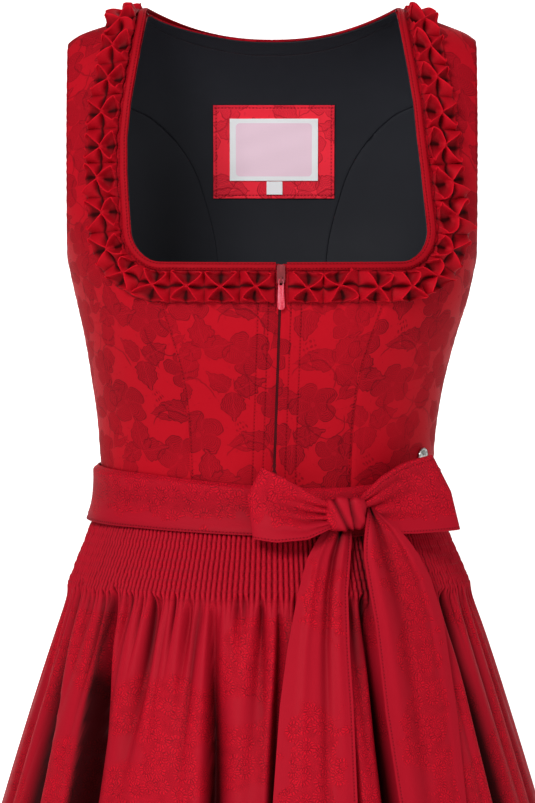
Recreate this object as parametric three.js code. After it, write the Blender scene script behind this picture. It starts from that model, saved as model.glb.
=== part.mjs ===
// A dirndl: a sleeveless bodice with a square neck and a pinched box-pleat trim, a gathered midi skirt,
// and a smocked apron tied with a bow. The garment is filled out as if worn, with nobody in it.
// Millimetres. +Z is up, the front faces -Y, and +X is to the right of a viewer who faces the front.
// The origin is midway between the two shoulder straps, at the height of the shoulder ridge.
import * as THREE from "three";

// ---- Driving sizes ----
const waistZ = -363; // waist seam, below the shoulder ridge
const neckZ = -184; // front neck edge
const hemZ = -1013; // skirt hem
const apronHemZ = hemZ + 28;
const apronTopZ = -372; // under the sash
const shoulderHalf = 151; // centre to the armhole edge of a strap
const neckHalf = 92; // centre to the neck edge at the shoulder ridge
const backNeckDip = 25; // shoulder ridge to the lowest point of the back neck
const shellThick = 1.5;
const liningThick = 1;
const skirtThick = 2.4;
const apronThick = 2.2;
const seamGap = 0.3; // between neighbouring pieces
const layerGap = 0.5; // between a layer and what lies on it

// ---- Materials ----
const cloth = (color, roughness) => new THREE.MeshStandardMaterial({ color, roughness, metalness: 0 });
const bodiceCloth = cloth(0xc4131f, 0.45);
const trimCloth = cloth(0xb8121f, 0.5);
const apronCloth = cloth(0xb01a2a, 0.55);
const skirtCloth = cloth(0xb8141f, 0.5);
const liningCloth = cloth(0x1c1d21, 0.7);
const whiteCloth = cloth(0xe8eaf0, 0.7);
const redLacquer = new THREE.MeshStandardMaterial({ color: 0xd85a6c, roughness: 0.25, metalness: 0.2 });
const oldSilver = new THREE.MeshStandardMaterial({ color: 0x9a9a98, roughness: 0.35, metalness: 0.9 });

// ---- Small sums ----
const radians = THREE.MathUtils.degToRad;
const degrees = THREE.MathUtils.radToDeg;
const lerp = THREE.MathUtils.lerp;
const smooth = (low, high, x) => THREE.MathUtils.smoothstep(x, low, high);
const bell = (x, centre, width) => Math.exp(-(((x - centre) / width) ** 2));
const evenly = (count, from = 0, to = 1) =>
  Array.from({ length: count + 1 }, (_, i) => lerp(from, to, i / count));

// Catmull-Rom between the rows of a table, by row number. A mirrored column changes sign where the
// table is carried on past its last row.
function between(table, at, column, mirrored = false) {
  const last = table.length - 1;
  const row = THREE.MathUtils.clamp(Math.floor(at), 0, last - 1);
  const f = at - row;
  const value = (i) => {
    if (i < 0) return 2 * table[0][column] - table[1][column];
    if (i > last) return (mirrored ? -1 : 1) * table[last - 1][column];
    return table[i][column];
  };
  const [a, b, c, d] = [value(row - 1), value(row), value(row + 1), value(row + 2)];
  return b + 0.5 * f * (c - a + f * (2 * a - 5 * b + 4 * c - d + f * (3 * (b - c) + d - a)));
}

// Straight steps between the rows of a table, by the value in column key.
function lookUp(table, key, x, column) {
  const rising = table[table.length - 1][key] > table[0][key];
  let i = 0;
  while (i < table.length - 2 && (rising ? x > table[i + 1][key] : x < table[i + 1][key])) i += 1;
  const share = (x - table[i][key]) / (table[i + 1][key] - table[i][key]);
  return lerp(table[i][column], table[i + 1][column], THREE.MathUtils.clamp(share, 0, 1));
}

// ---- The form that the cloth takes, as sections from the hem up to the shoulder ridge ----
// half: half width. front, back: depth from the side seam. round: 2 is an ellipse, more is squarer.
const form = [
  { z: hemZ, half: 297, front: 262, back: 272, round: 2.05 },
  { z: -850, half: 264, front: 236, back: 246, round: 2.05 },
  { z: -700, half: 228, front: 205, back: 212, round: 2.05 },
  { z: -574, half: 192, front: 172, back: 178, round: 2.05 },
  { z: -480, half: 163, front: 141, back: 147, round: 2.05 },
  { z: -425, half: 145, front: 117, back: 122, round: 2.05 },
  { z: -388, half: 130, front: 97, back: 94, round: 2.05 },
  { z: waistZ, half: 122, front: 86, back: 76, round: 2.08 },
  { z: -330, half: 123.4, front: 86, back: 75, round: 2.1 },
  { z: -300, half: 126, front: 92, back: 77, round: 2.15 },
  { z: -270, half: 131, front: 101, back: 81, round: 2.2 },
  { z: -240, half: 137.5, front: 108, back: 85, round: 2.2 },
  { z: -212, half: 145, front: 110, back: 88, round: 2.2 },
  { z: -185, half: shoulderHalf, front: 106, back: 90, round: 2.2 },
  { z: -155, half: 158, front: 98, back: 91, round: 2.2 },
  { z: -120, half: 164, front: 87, back: 89, round: 2.2 },
  { z: -85, half: 168, front: 75, back: 84, round: 2.2 },
  { z: -52, half: 170, front: 61, back: 73, round: 2.2 },
  { z: -26, half: 170, front: 44, back: 55, round: 2.2 },
  { z: -8, half: 170, front: 24, back: 30, round: 2.2 },
  { z: 0, half: 170, front: 0, back: 0, round: 2.2 },
];
const ridge = form.length - 1;
const bust = { x: 78, z: -226, lift: 6, wide: 40, tall: 44 };
const shoulder = { slope: 0.29, tip: 3, fadeZ: -150 };

// The level is a row number of the form. Past the ridge it runs down the back.
const heightAt = (level) => between(form, Math.min(level, 2 * ridge - level), "z");

function levelAt(z) {
  let low = 0;
  let high = ridge;
  for (let i = 0; i < 40; i += 1) {
    const middle = (low + high) / 2;
    if (heightAt(middle) < z) low = middle;
    else high = middle;
  }
  return (low + high) / 2;
}

// A point of the form: turn is 0 at centre front, 90 at the right side seam and 180 at centre back.
function formPoint(turn, level) {
  if (level > ridge) return formPoint(180 - turn, 2 * ridge - level);
  const [z, half, round] = ["z", "half", "round"].map((column) => between(form, level, column));
  const [sine, cosine] = [Math.sin(radians(turn)), Math.cos(radians(turn))];
  const x = half * Math.sign(sine) * Math.abs(sine) ** (2 / round);
  const swell = bust.lift * bell(Math.abs(x), bust.x, bust.wide) * bell(z, bust.z, bust.tall);
  const front = -between(form, level, "front", true) - swell * smooth(0, 0.5, cosine);
  const depth = cosine > 0 ? front : between(form, level, "back", true);
  const beyondNeck = Math.max(0, Math.abs(x) - neckHalf);
  const tip = shoulder.tip * (beyondNeck / (shoulderHalf - neckHalf)) ** 6;
  const drop = (shoulder.slope * beyondNeck + tip) * smooth(shoulder.fadeZ, 0, z);
  return new THREE.Vector3(x, depth * Math.abs(cosine) ** (2 / round), z - drop);
}

// The turn at which the section at a level passes x, on the front or on the back.
function turnAt(x, level, onBack = false) {
  const share = Math.min(1, Math.abs(x) / between(form, level, "half"));
  const turn = degrees(Math.asin(share ** (between(form, level, "round") / 2)));
  return Math.sign(x || 1) * (onBack ? 180 - turn : turn);
}

// ---- Walls of cloth ----
function normalOf(surface, u, v) {
  const step = 1e-3;
  const across = surface(u + step, v).sub(surface(u - step, v));
  const along = surface(u, v + step).sub(surface(u, v - step));
  return across.cross(along).normalize();
}

// Triangles between two rows of points, whose places along the rows are in atA and atB.
function zipRows(a, atA, b, atB) {
  const triangles = [];
  let i = 0;
  let j = 0;
  while (i < a.length - 1 || j < b.length - 1) {
    if (j === b.length - 1 || (i < a.length - 1 && atA[i + 1] <= atB[j + 1])) {
      triangles.push([a[i], a[i + 1], b[j]]);
      i += 1;
    } else {
      triangles.push([a[i], b[j + 1], b[j]]);
      j += 1;
    }
  }
  return triangles;
}

function closedGeometry(triangles) {
  const cross = new THREE.Vector3();
  const sixfold = triangles.reduce((sum, [a, b, c]) => sum + cross.crossVectors(a, b).dot(c), 0);
  const outward = sixfold < 0 ? triangles.map(([a, b, c]) => [a, c, b]) : triangles;
  const places = outward.flatMap((corners) => corners.flatMap((corner) => corner.toArray()));
  const geometry = new THREE.BufferGeometry();
  geometry.setAttribute("position", new THREE.Float32BufferAttribute(places, 3));
  geometry.computeVertexNormals();
  return geometry;
}

// A closed wall on surface(u, v). Its outer face lies lift + relief off the surface and its inner face
// lies thick under lift, both on the side that facing gives. columns is a list, or gives one for a v.
function wall({ surface, rows, columns, lift = () => 0, relief = () => 0, thick, facing = 1, inner = {} }) {
  const sheet = (rowList, columnChoice, height) =>
    rowList.map((v) => {
      const us = typeof columnChoice === "function" ? columnChoice(v) : columnChoice;
      const points = us.map((u) =>
        surface(u, v).addScaledVector(normalOf(surface, u, v), facing * height(u, v)),
      );
      return { v, us, points };
    });
  const outside = sheet(rows, columns, (u, v) => lift(u, v) + relief(u, v));
  const inside = sheet(inner.rows ?? rows, inner.columns ?? columns, (u, v) => lift(u, v) - thick);
  const skin = (grid) =>
    grid.slice(1).flatMap((row, i) => zipRows(grid[i].points, grid[i].us, row.points, row.us));
  const side = (grid, which) => [grid.map((row) => row.points.at(which)), grid.map((row) => row.v)];
  const edge = (grid, which) => [grid.at(which).points, grid.at(which).us];
  return closedGeometry([
    ...skin(outside),
    ...skin(inside).map(([a, b, c]) => [a, c, b]),
    ...zipRows(...edge(inside, 0), ...edge(outside, 0)),
    ...zipRows(...edge(outside, -1), ...edge(inside, -1)),
    ...zipRows(...side(outside, 0), ...side(inside, 0)),
    ...zipRows(...side(inside, -1), ...side(outside, -1)),
  ]);
}

const garment = new THREE.Group();

function add(name, geometry, material, parent = garment) {
  const mesh = new THREE.Mesh(geometry, material);
  mesh.name = name;
  parent.add(mesh);
  return mesh;
}

const sides = [
  { word: "left", sign: -1 },
  { word: "right", sign: 1 },
];

// ---- Seams and edges of the bodice, as the distance from the centre at each height ----
const frontSeam = [
  { z: waistZ, x: 58 },
  { z: -331, x: 58.8 },
  { z: -304, x: 60 },
  { z: -280, x: 62.5 },
  { z: -258, x: 67 },
  { z: -235, x: 74 },
  { z: -218, x: 80 },
  { z: neckZ, x: 88 },
];
const backSeam = [
  { z: waistZ, x: 35 },
  { z: -250, x: 37.5 },
  { z: -177, x: 42 },
  { z: -155, x: 47 },
  { z: -122, x: 57 },
  { z: -103, x: 68 },
  { z: -84, x: 84 },
  { z: -68, x: 107 },
  { z: -57, x: 130 },
  { z: -48, x: shoulderHalf },
];
const strapEdge = [
  { z: neckZ + 24, x: 108.5 },
  { z: -117, x: 107.5 },
  { z: -91, x: 106 },
  { z: -65, x: 103.5 },
  { z: -44, x: 100 },
  { z: -24, x: 96.5 },
  { z: 0, x: neckHalf },
];
const zipLine = [
  { z: waistZ, x: 0.7 },
  { z: neckZ, x: 6.7 },
];
const slitHalf = 1.2; // half the slit over the zip
const tapeHalf = 9; // half the width of the zip's tape
const cornerX = 87; // where the front neck edge starts to turn up
const backNeckZ = (x) => -backNeckDip * (1 - Math.min(1, Math.abs(x) / neckHalf) ** 2.2);

// The neck edge of the side front: out round the corner, then up the strap.
function neckEdge(z) {
  const up = Math.max(0, (z - neckZ) / (strapEdge[0].z - neckZ));
  if (up >= 1) return lookUp(strapEdge, "z", z, "x");
  return lerp(cornerX, strapEdge[0].x, Math.sqrt(1 - (1 - up) ** 2));
}

// The rows that all bodice panels share, so that their seams run side by side.
const rowHeights = [
  waistZ, -322, -285, -252, -222, -200, neckZ - 0.7, neckZ + 2.5, neckZ + 9, neckZ + 25,
  -130, -103, -84, -68, -57, -48.6, -27, -10,
];
const ridgeRow = ridge - 0.01;
const bodiceRows = [...rowHeights.map(levelAt), ridgeRow];
const rowsBetween = (low, high) =>
  bodiceRows.filter((row) => row > levelAt(low) - 1e-6 && row < levelAt(high) + 1e-6);

// A front or back panel between two edges, each given as a distance from the centre at a height.
function panel({ sign, from, to, onBack = false }) {
  return (u, level) => {
    const z = heightAt(level);
    const limit = onBack ? 90.08 : 89.92;
    const edgeTurn = (x) => {
      const turn = turnAt(x, level, onBack);
      return onBack ? Math.max(turn, limit) : Math.min(turn, limit);
    };
    const turns = [edgeTurn(from(z, sign) + seamGap / 2), edgeTurn(to(z) - seamGap / 2)];
    const share = sign > 0 !== onBack ? u : 1 - u;
    return formPoint(sign * lerp(...turns, share), level);
  };
}

// The centre back lies between the back seams, and above them from armhole to armhole. Its top rows
// close up to the back neck edge.
const yokeRow = levelAt(-48.6);
function centreBack(u, level) {
  const across = 1 - 2 * u;
  const topX = Math.abs(across) * shoulderHalf;
  const top = topX < neckHalf ? levelAt(backNeckZ(topX)) : ridgeRow;
  const share = Math.max(0, (level - yokeRow) / (ridgeRow - yokeRow));
  const here = share > 0 ? lerp(yokeRow, top, share) : level;
  const reach = lookUp(backSeam, "z", heightAt(here), "x") - seamGap / 2;
  return formPoint(turnAt(across * reach, here, true), here);
}

// ---- Bodice, and a lining cut like it ----
const liningLift = -shellThick - seamGap;
const layers = [
  { word: "bodice", lift: 0, thick: shellThick, zipEdge: slitHalf, material: bodiceCloth },
  { word: "lining", lift: liningLift, thick: liningThick, zipEdge: tapeHalf, material: liningCloth },
];
const atSeam = (table) => (z) => lookUp(table, "z", z, "x");

for (const { word: layer, lift, thick, zipEdge, material } of layers) {
  const put = (name, shape) =>
    add(`${layer}_${name}`, wall({ ...shape, lift: () => lift, thick }), material);
  for (const { word, sign } of sides) {
    const fromZip = (z) => zipEdge + sign * lookUp(zipLine, "z", z, "x");
    const fromSeamOrNeck = (z) => (z < neckZ ? lookUp(frontSeam, "z", z, "x") : neckEdge(z));
    put(`centre_front_${word}`, {
      surface: panel({ sign, from: fromZip, to: atSeam(frontSeam) }),
      rows: rowsBetween(waistZ, neckZ),
      columns: evenly(4),
    });
    put(`side_front_${word}`, {
      surface: panel({ sign, from: fromSeamOrNeck, to: () => shoulderHalf }),
      rows: bodiceRows,
      columns: evenly(5),
    });
    put(`side_back_${word}`, {
      surface: panel({ sign, from: atSeam(backSeam), to: () => shoulderHalf, onBack: true }),
      rows: rowsBetween(waistZ, -48.6),
      columns: evenly(4),
    });
  }
  put("centre_back", { surface: centreBack, rows: bodiceRows, columns: evenly(10) });
}

// ---- The neck edge in pattern distance ----
// down is the length of cloth below the shoulder ridge. Below 0 it runs over the ridge, down the back.
function measureDown(onBack) {
  const places = evenly(200, ridge, levelAt(-260));
  const points = places.map((level) => formPoint(turnAt(neckHalf, level, onBack), level));
  let down = 0;
  return places.map((level, i) => {
    if (i) down += points[i].distanceTo(points[i - 1]);
    return { level, down, z: heightAt(level) };
  });
}
const downFront = measureDown(false);
const downBack = measureDown(true);

function onBodice(x, down) {
  const level = lookUp(down < 0 ? downBack : downFront, "down", Math.abs(down), "level");
  return formPoint(turnAt(x, level, down < 0), level);
}

// The points of half the neck edge: centre front, corner, strap, ridge, then in to the centre back.
function neckPath(sign) {
  const frontStart = 4 + sign * lookUp(zipLine, "z", neckZ, "x");
  const cornerZ = strapEdge[0].z;
  const frontPoint = (z, x) => ({ x, down: lookUp(downFront, "z", z, "down") });
  const backPoint = (x) => ({ x, down: -lookUp(downBack, "z", backNeckZ(x), "down") });
  const points = [
    ...evenly(12, frontStart, cornerX).map((x) => frontPoint(neckZ, x)),
    ...evenly(12, 0, 90).slice(1).map((turn) => {
      const z = lerp(neckZ, cornerZ, 1 - Math.cos(radians(turn)));
      return frontPoint(z, lerp(cornerX, strapEdge[0].x, Math.sin(radians(turn))));
    }),
    ...evenly(24, cornerZ, 0).slice(1).map((z) => frontPoint(z, lookUp(strapEdge, "z", z, "x"))),
    ...evenly(24, 0, 90).slice(1).map((turn) => backPoint(neckHalf * Math.cos(radians(turn)))),
  ];
  let along = 0;
  points.forEach((point, i) => {
    if (i) along += Math.hypot(point.x - points[i - 1].x, point.down - points[i - 1].down);
    point.along = along;
  });
  return points;
}

// A strip beside the neck edge, from one place along it to another, between two distances from it.
function neckStrip({ sign, start, end, near, far }) {
  const path = neckPath(sign);
  const place = (along) => ["x", "down"].map((column) => lookUp(path, "along", along, column));
  return (u, v) => {
    const along = lerp(start, end, u);
    const out = lerp(far, near, v);
    const reach = 4;
    const [x, down] = place(along);
    const [before, after] = [place(along - reach), place(along + reach)];
    const way = new THREE.Vector2(after[0] - before[0], after[1] - before[1]).normalize();
    const point = onBodice(x - way.y * out, down + way.x * out);
    return point.setX(sign * point.x);
  };
}

const ridgeAlong = (sign) => neckPath(sign).findLast(({ down }) => down >= 0).along;
const pastRidge = 14; // how far the trim and the front binding run past the shoulder ridge
const binding = { near: -0.4, far: 5.6, thick: 1 };
const trim = { near: 6.2, far: 29.2, gap: 0.9, thick: 1.2, pleats: 14 };

for (const { word, sign } of sides) {
  const frontEnd = ridgeAlong(sign) + pastRidge;
  const backEnd = neckPath(sign).at(-1).along - seamGap / 2;
  const lengths = [
    { name: `neck_binding_${word}`, start: 0, end: frontEnd, steps: 38 },
    { name: `neck_binding_back_${word}`, start: frontEnd + seamGap, end: backEnd, steps: 11 },
  ];
  for (const { name, start, end, steps } of lengths) {
    add(
      name,
      wall({
        surface: neckStrip({ sign, start, end, ...binding }),
        rows: [0, 1],
        columns: evenly(steps),
        lift: () => layerGap + binding.thick,
        thick: binding.thick,
        facing: sign,
      }),
      trimCloth,
    );
  }
}

// ---- Trim of pinched box pleats ----
// Each pleat is drawn in to its middle, which raises four lips in a cross round two mouths.
// Heights above the strip's base, at rows across it. middle, flank, edge: places along one pleat.
const pinch = [
  { across: 0, middle: 0.4, flank: 3.2, edge: 1.4 },
  { across: 0.25, middle: 1.2, flank: 4.2, edge: 1.2 },
  { across: 0.5, middle: 4.8, flank: 1.8, edge: 0.6 },
  { across: 0.75, middle: 1.2, flank: 4.2, edge: 1.2 },
  { across: 1, middle: 0.4, flank: 3.2, edge: 1.4 },
];

function pinchHeight(u, v) {
  const fromMiddle = Math.abs(((u * trim.pleats) % 1) - 0.5) * 4; // 1 on the flank, 2 at the pleat's edge
  const [middle, flank, edge] = ["middle", "flank", "edge"].map((place) =>
    lookUp(pinch, "across", v, place),
  );
  return fromMiddle < 1 ? lerp(middle, flank, fromMiddle) : lerp(flank, edge, fromMiddle - 1);
}

for (const { word, sign } of sides) {
  add(
    `rosette_trim_${word}`,
    wall({
      surface: neckStrip({ sign, start: 0.6, end: ridgeAlong(sign) + pastRidge, ...trim }),
      rows: pinch.map(({ across }) => across),
      columns: evenly(trim.pleats * 4),
      lift: () => trim.gap + trim.thick,
      relief: pinchHeight,
      thick: trim.thick,
      facing: sign,
      inner: { rows: [0, 0.5, 1], columns: evenly(trim.pleats * 3) },
    }),
    trimCloth,
  );
}

// ---- Zip ----
for (const { word, sign } of sides) {
  const fromZip = (z) => sign * lookUp(zipLine, "z", z, "x");
  add(
    `zip_tape_${word}`,
    wall({
      surface: panel({ sign, from: fromZip, to: (z) => fromZip(z) + tapeHalf }),
      rows: rowsBetween(waistZ, neckZ),
      columns: evenly(2),
      lift: () => liningLift,
      thick: liningThick,
    }),
    trimCloth,
  );
}

// An outline drawn with x across and y up, as a plate of a thickness that stands in the XZ plane.
function plate(shape, thick) {
  const geometry = new THREE.ExtrudeGeometry(shape, { depth: thick, bevelEnabled: false, curveSegments: 4 });
  return geometry.translate(0, 0, -thick / 2).rotateX(Math.PI / 2);
}

function roundedRectangle({ width, height, corner }) {
  const [x, z] = [width / 2, height / 2];
  const shape = new THREE.Shape();
  shape.moveTo(-x + corner, -z);
  shape.absarc(x - corner, -z + corner, corner, -Math.PI / 2, 0);
  shape.absarc(x - corner, z - corner, corner, 0, Math.PI / 2);
  shape.absarc(-x + corner, z - corner, corner, Math.PI / 2, Math.PI);
  shape.absarc(-x + corner, -z + corner, corner, Math.PI, 1.5 * Math.PI);
  return shape;
}

function rectangle(x1, z1, x2, z2) {
  const path = new THREE.Path();
  path.moveTo(x1, z1);
  path.lineTo(x1, z2);
  path.lineTo(x2, z2);
  path.lineTo(x2, z1);
  return path;
}

const slider = { z: -192.5, width: 6, height: 14, corner: 1.6, thick: 2 };
const bridge = { width: 1.4, height: 5.2, out: 4.2, bar: 0.9, chamfer: 0.8 };
const pull = { width: 4.6, tip: 2.7, length: 22.5, thick: 1.2, above: 0.7, window: 2.4, windowBelow: 4 };
const bridgeZ = (bridge.height - slider.height) / 2; // at the slider's lower end
const axisOut = 2.2; // from the slider's face to the hinge axis, inside the bridge

const onFront = (x, level) => formPoint(turnAt(x, level), level);
const sliderLevel = levelAt(slider.z);
const sliderX = lookUp(zipLine, "z", slider.z, "x");
const sliderNormal = normalOf(onFront, sliderX, sliderLevel);
const sliderGroup = new THREE.Group();
sliderGroup.position
  .copy(onFront(sliderX, sliderLevel))
  .addScaledVector(sliderNormal, layerGap + slider.thick / 2);
sliderGroup.rotation.x = Math.atan2(-sliderNormal.z, -sliderNormal.y);
garment.add(sliderGroup);
add("zip_slider", plate(roundedRectangle(slider), slider.thick), oldSilver, sliderGroup);

// The bridge's outline, with x away from the cloth and y up, open on the slider's side.
function bridgeShape({ height, out, bar, chamfer }) {
  const half = height / 2;
  const shape = new THREE.Shape();
  shape.moveTo(0, -half);
  shape.lineTo(out - chamfer, -half);
  shape.lineTo(out, -half + chamfer);
  shape.lineTo(out, half - chamfer);
  shape.lineTo(out - chamfer, half);
  shape.lineTo(0, half);
  shape.lineTo(0, half - bar);
  shape.lineTo(out - bar, half - bar);
  shape.lineTo(out - bar, -half + bar);
  shape.lineTo(0, -half + bar);
  return shape;
}
const bridgeGeometry = plate(bridgeShape(bridge), bridge.width).rotateZ(-Math.PI / 2);
const bridgeMesh = add("zip_bridge", bridgeGeometry, oldSilver, sliderGroup);
bridgeMesh.position.set(0, -slider.thick / 2 - seamGap, bridgeZ);

// The pull hangs straight down from its axis, which is parallel to X.
function pullShape({ width, tip, length, above, window, windowBelow }) {
  const half = width / 2;
  const shape = new THREE.Shape();
  shape.moveTo(-half + 0.6, above);
  shape.lineTo(-half + 0.3, -windowBelow - 1);
  shape.absarc(0, above - length + tip, tip, Math.PI, 2 * Math.PI);
  shape.lineTo(half - 0.3, -windowBelow - 1);
  shape.lineTo(half - 0.6, above);
  shape.holes.push(rectangle(-window / 2, -windowBelow, window / 2, -above));
  return shape;
}
const pullMesh = add("zip_pull", plate(pullShape(pull), pull.thick), redLacquer);
sliderGroup.updateMatrix();
pullMesh.position.set(0, -slider.thick / 2 - axisOut, bridgeZ).applyMatrix4(sliderGroup.matrix);

// ---- Button at the waist ----
// A rim with a dome on it.
const button = { x: 112.5, z: -327.5, radius: 6, rim: 1.2, dome: 2.4 };
const domeArc = evenly(4, 0, 90).map(
  (turn) =>
    new THREE.Vector2(
      0.87 * button.radius * Math.cos(radians(turn)),
      button.rim + button.dome * Math.sin(radians(turn)),
    ),
);
const buttonProfile = [
  new THREE.Vector2(0, 0),
  new THREE.Vector2(button.radius, 0),
  new THREE.Vector2(button.radius, button.rim),
  ...domeArc,
];
const buttonLevel = levelAt(button.z);
const buttonNormal = normalOf(onFront, button.x, buttonLevel);
const buttonMesh = add("side_button", new THREE.LatheGeometry(buttonProfile, 14), oldSilver);
buttonMesh.position.copy(onFront(button.x, buttonLevel)).addScaledVector(buttonNormal, layerGap);
buttonMesh.quaternion.setFromUnitVectors(new THREE.Vector3(0, 1, 0), buttonNormal);

// ---- Patch, label and size tab inside the back of the neck ----
// depth: from the lining's inner face to the piece's own outer one.
const patchThick = 1;
const labelThick = 0.7;
const onPatch = layerGap + patchThick + layerGap;
const labels = [
  { name: "neck_patch", left: -44.4, right: 47.4, top: -70, bottom: -141, depth: layerGap },
  { name: "neck_label", left: -32, right: 35, top: -80, bottom: -127.5, depth: onPatch },
  { name: "size_tab", left: -4, right: 8, top: -128, bottom: -138, depth: onPatch },
];
for (const { name, left, right, top, bottom, depth } of labels) {
  const isPatch = depth < onPatch;
  add(
    name,
    wall({
      surface: (u, level) => formPoint(turnAt(lerp(right, left, u), level, true), level),
      rows: evenly(3, levelAt(bottom), levelAt(top)),
      columns: evenly(4),
      lift: () => liningLift - liningThick - depth,
      thick: isPatch ? patchThick : labelThick,
    }),
    isPatch ? bodiceCloth : whiteCloth,
  );
}

// ---- Folds of the skirt, which the apron takes over ----
// Valleys: turn is the place round the skirt, width in degrees, depth at full, start where each begins.
const folds = [
  { turn: -177, width: 5.5, depth: 15, start: waistZ },
  { turn: -157, width: 4.5, depth: 10, start: waistZ },
  { turn: -138, width: 6, depth: 15, start: waistZ },
  { turn: -118, width: 4.5, depth: 11, start: waistZ },
  { turn: -101, width: 5, depth: 12, start: waistZ },
  { turn: -78, width: 4, depth: 8, start: -440 },
  { turn: -61, width: 5.5, depth: 16, start: -420 },
  { turn: -44, width: 4.5, depth: 13, start: -428 },
  { turn: -27, width: 4, depth: 7, start: -470 },
  { turn: -9, width: 4.5, depth: 16, start: -430 },
  { turn: 9, width: 4, depth: 7, start: -480 },
  { turn: 26, width: 5, depth: 13, start: -430 },
  { turn: 42, width: 4, depth: 8, start: -450 },
  { turn: 57, width: 5.5, depth: 16, start: -420 },
  { turn: 77, width: 4, depth: 9, start: -440 },
  { turn: 101, width: 5, depth: 12, start: waistZ },
  { turn: 119, width: 4.5, depth: 11, start: waistZ },
  { turn: 139, width: 6, depth: 15, start: waistZ },
  { turn: 160, width: 4.5, depth: 10, start: waistZ },
];
const foldGrowth = 150; // how far below its start a fold reaches 63% of its depth

function foldDepth(turn, z) {
  return folds.reduce((sum, { turn: centre, width, depth, start }) => {
    const away = THREE.MathUtils.euclideanModulo(turn - centre + 180, 360) - 180;
    const grown = 1 - Math.exp(-Math.max(0, start - z) / foldGrowth);
    return sum + depth * grown * bell(away, 0, width);
  }, 0);
}

function skirtPoint(turn, level) {
  const point = formPoint(turn, level);
  const size = Math.hypot(point.x, point.y);
  const kept = 1 - foldDepth(turn, point.z) / size;
  return new THREE.Vector3(point.x * kept, point.y * kept, point.z);
}

const skirtSplit = 90; // the turn of the side seams
const splitGap = 0.1; // half the gap at a side seam, in degrees

// Columns close together in the valleys, and at the side seams, between two turns.
function foldColumns(from, to) {
  const inFolds = folds.flatMap(({ turn, width }) =>
    [-1.6, -0.7, 0, 0.7, 1.6].map((share) => turn + share * width),
  );
  const once = [...inFolds, -skirtSplit, skirtSplit];
  const places = [...once, ...once.map((place) => place + 360)];
  const inside = places.filter((place) => place > from + 1 && place < to - 1).sort((a, b) => a - b);
  return [from, ...inside, to];
}

const skirtHeights = [hemZ, apronHemZ, -770, -580, -425, -390, apronTopZ];
const skirtRows = [...skirtHeights.map(levelAt), levelAt(waistZ - seamGap)];
const skirtSpans = [
  { name: "skirt_front", from: -skirtSplit + splitGap, to: skirtSplit - splitGap },
  { name: "skirt_back", from: skirtSplit + splitGap, to: 360 - skirtSplit - splitGap },
];
for (const { name, from, to } of skirtSpans) {
  add(
    name,
    wall({ surface: skirtPoint, rows: skirtRows, columns: foldColumns(from, to), thick: skirtThick }),
    skirtCloth,
  );
}

// ---- Apron, smocked below the sash ----
const apronEdge = 95; // the turn of the apron's side edges
const smocking = { ribs: 124, depth: 1.3, endZ: -425 };
const apronBase = layerGap + apronThick;
const ribColumns = evenly(smocking.ribs * 2, -apronEdge, apronEdge);
const apronColumns = foldColumns(-apronEdge, apronEdge);
const smockedRows = [smocking.endZ, -398, apronTopZ].map(levelAt);
const apronRows = [...skirtHeights.slice(1, 4).map(levelAt), ...smockedRows];

function ribHeight(turn, level) {
  if (level < smockedRows[0] - 1e-6) return 0;
  const place = ((turn + apronEdge) / (2 * apronEdge)) * smocking.ribs * 2;
  return Math.round(place) % 2 === 1 ? smocking.depth : 0;
}

add(
  "apron",
  wall({
    surface: skirtPoint,
    rows: apronRows,
    columns: (level) => (level < smockedRows[0] - 1e-6 ? apronColumns : ribColumns),
    lift: () => apronBase,
    relief: ribHeight,
    thick: apronThick,
    inner: { rows: skirtRows.slice(1, -1), columns: apronColumns },
  }),
  apronCloth,
);

// ---- Sash ----
// Its edges at turns round the waist. It narrows towards the bow.
const sashEdges = [
  { turn: -270, top: -336, bottom: -380 },
  { turn: -90, top: -335, bottom: -379 },
  { turn: -45, top: -339, bottom: -381 },
  { turn: 5, top: -349, bottom: -388 },
  { turn: 25, top: -352, bottom: -389 },
  { turn: 50, top: -346, bottom: -385 },
  { turn: 90, top: -336, bottom: -380 },
];
const sash = { thick: 1.8, topLift: 5.8, bottomLift: 6.8 };

function sashPoint(turn, v) {
  const [bottom, top] = ["bottom", "top"].map((edge) => lookUp(sashEdges, "turn", turn, edge));
  return formPoint(turn, levelAt(lerp(bottom, top, v)));
}

const sashSpans = [
  { name: "sash_front", from: -skirtSplit + splitGap, to: skirtSplit - splitGap },
  { name: "sash_back", from: skirtSplit - 360 + splitGap, to: -skirtSplit - splitGap },
];
for (const { name, from, to } of sashSpans) {
  add(
    name,
    wall({
      surface: sashPoint,
      rows: evenly(3),
      columns: evenly(24, from, to),
      lift: (turn, v) => lerp(sash.bottomLift, sash.topLift, v),
      thick: sash.thick,
    }),
    apronCloth,
  );
}

// ---- Bow ----
const knot = { x: 54, z: -371, halfWidth: 15, halfDepth: 9, halfHeight: 13 };
const bowClear = 1.6; // between the bow and the sash
const sideStart = 92; // past this x the bow leaves the front and leans back towards the side
const sideSlope = 0.5;

// The y of the sash's front at x and z, carried on straight past the side.
function sashFrontY(x, z) {
  const level = levelAt(z);
  const y = formPoint(turnAt(Math.min(x, sideStart), level), level).y;
  return y - sash.bottomLift + sideSlope * Math.max(0, x - sideStart);
}

const knotMesh = add("bow_knot", new THREE.SphereGeometry(1, 16, 10), apronCloth);
knotMesh.scale.set(knot.halfWidth, knot.halfDepth, knot.halfHeight);
const knotBackY = sashFrontY(knot.x - knot.halfWidth / 2, knot.z) - bowClear;
knotMesh.position.set(knot.x, knotBackY - knot.halfDepth, knot.z);

const loopGap = 1.3; // from the knot's side to the ends of a loop

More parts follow.
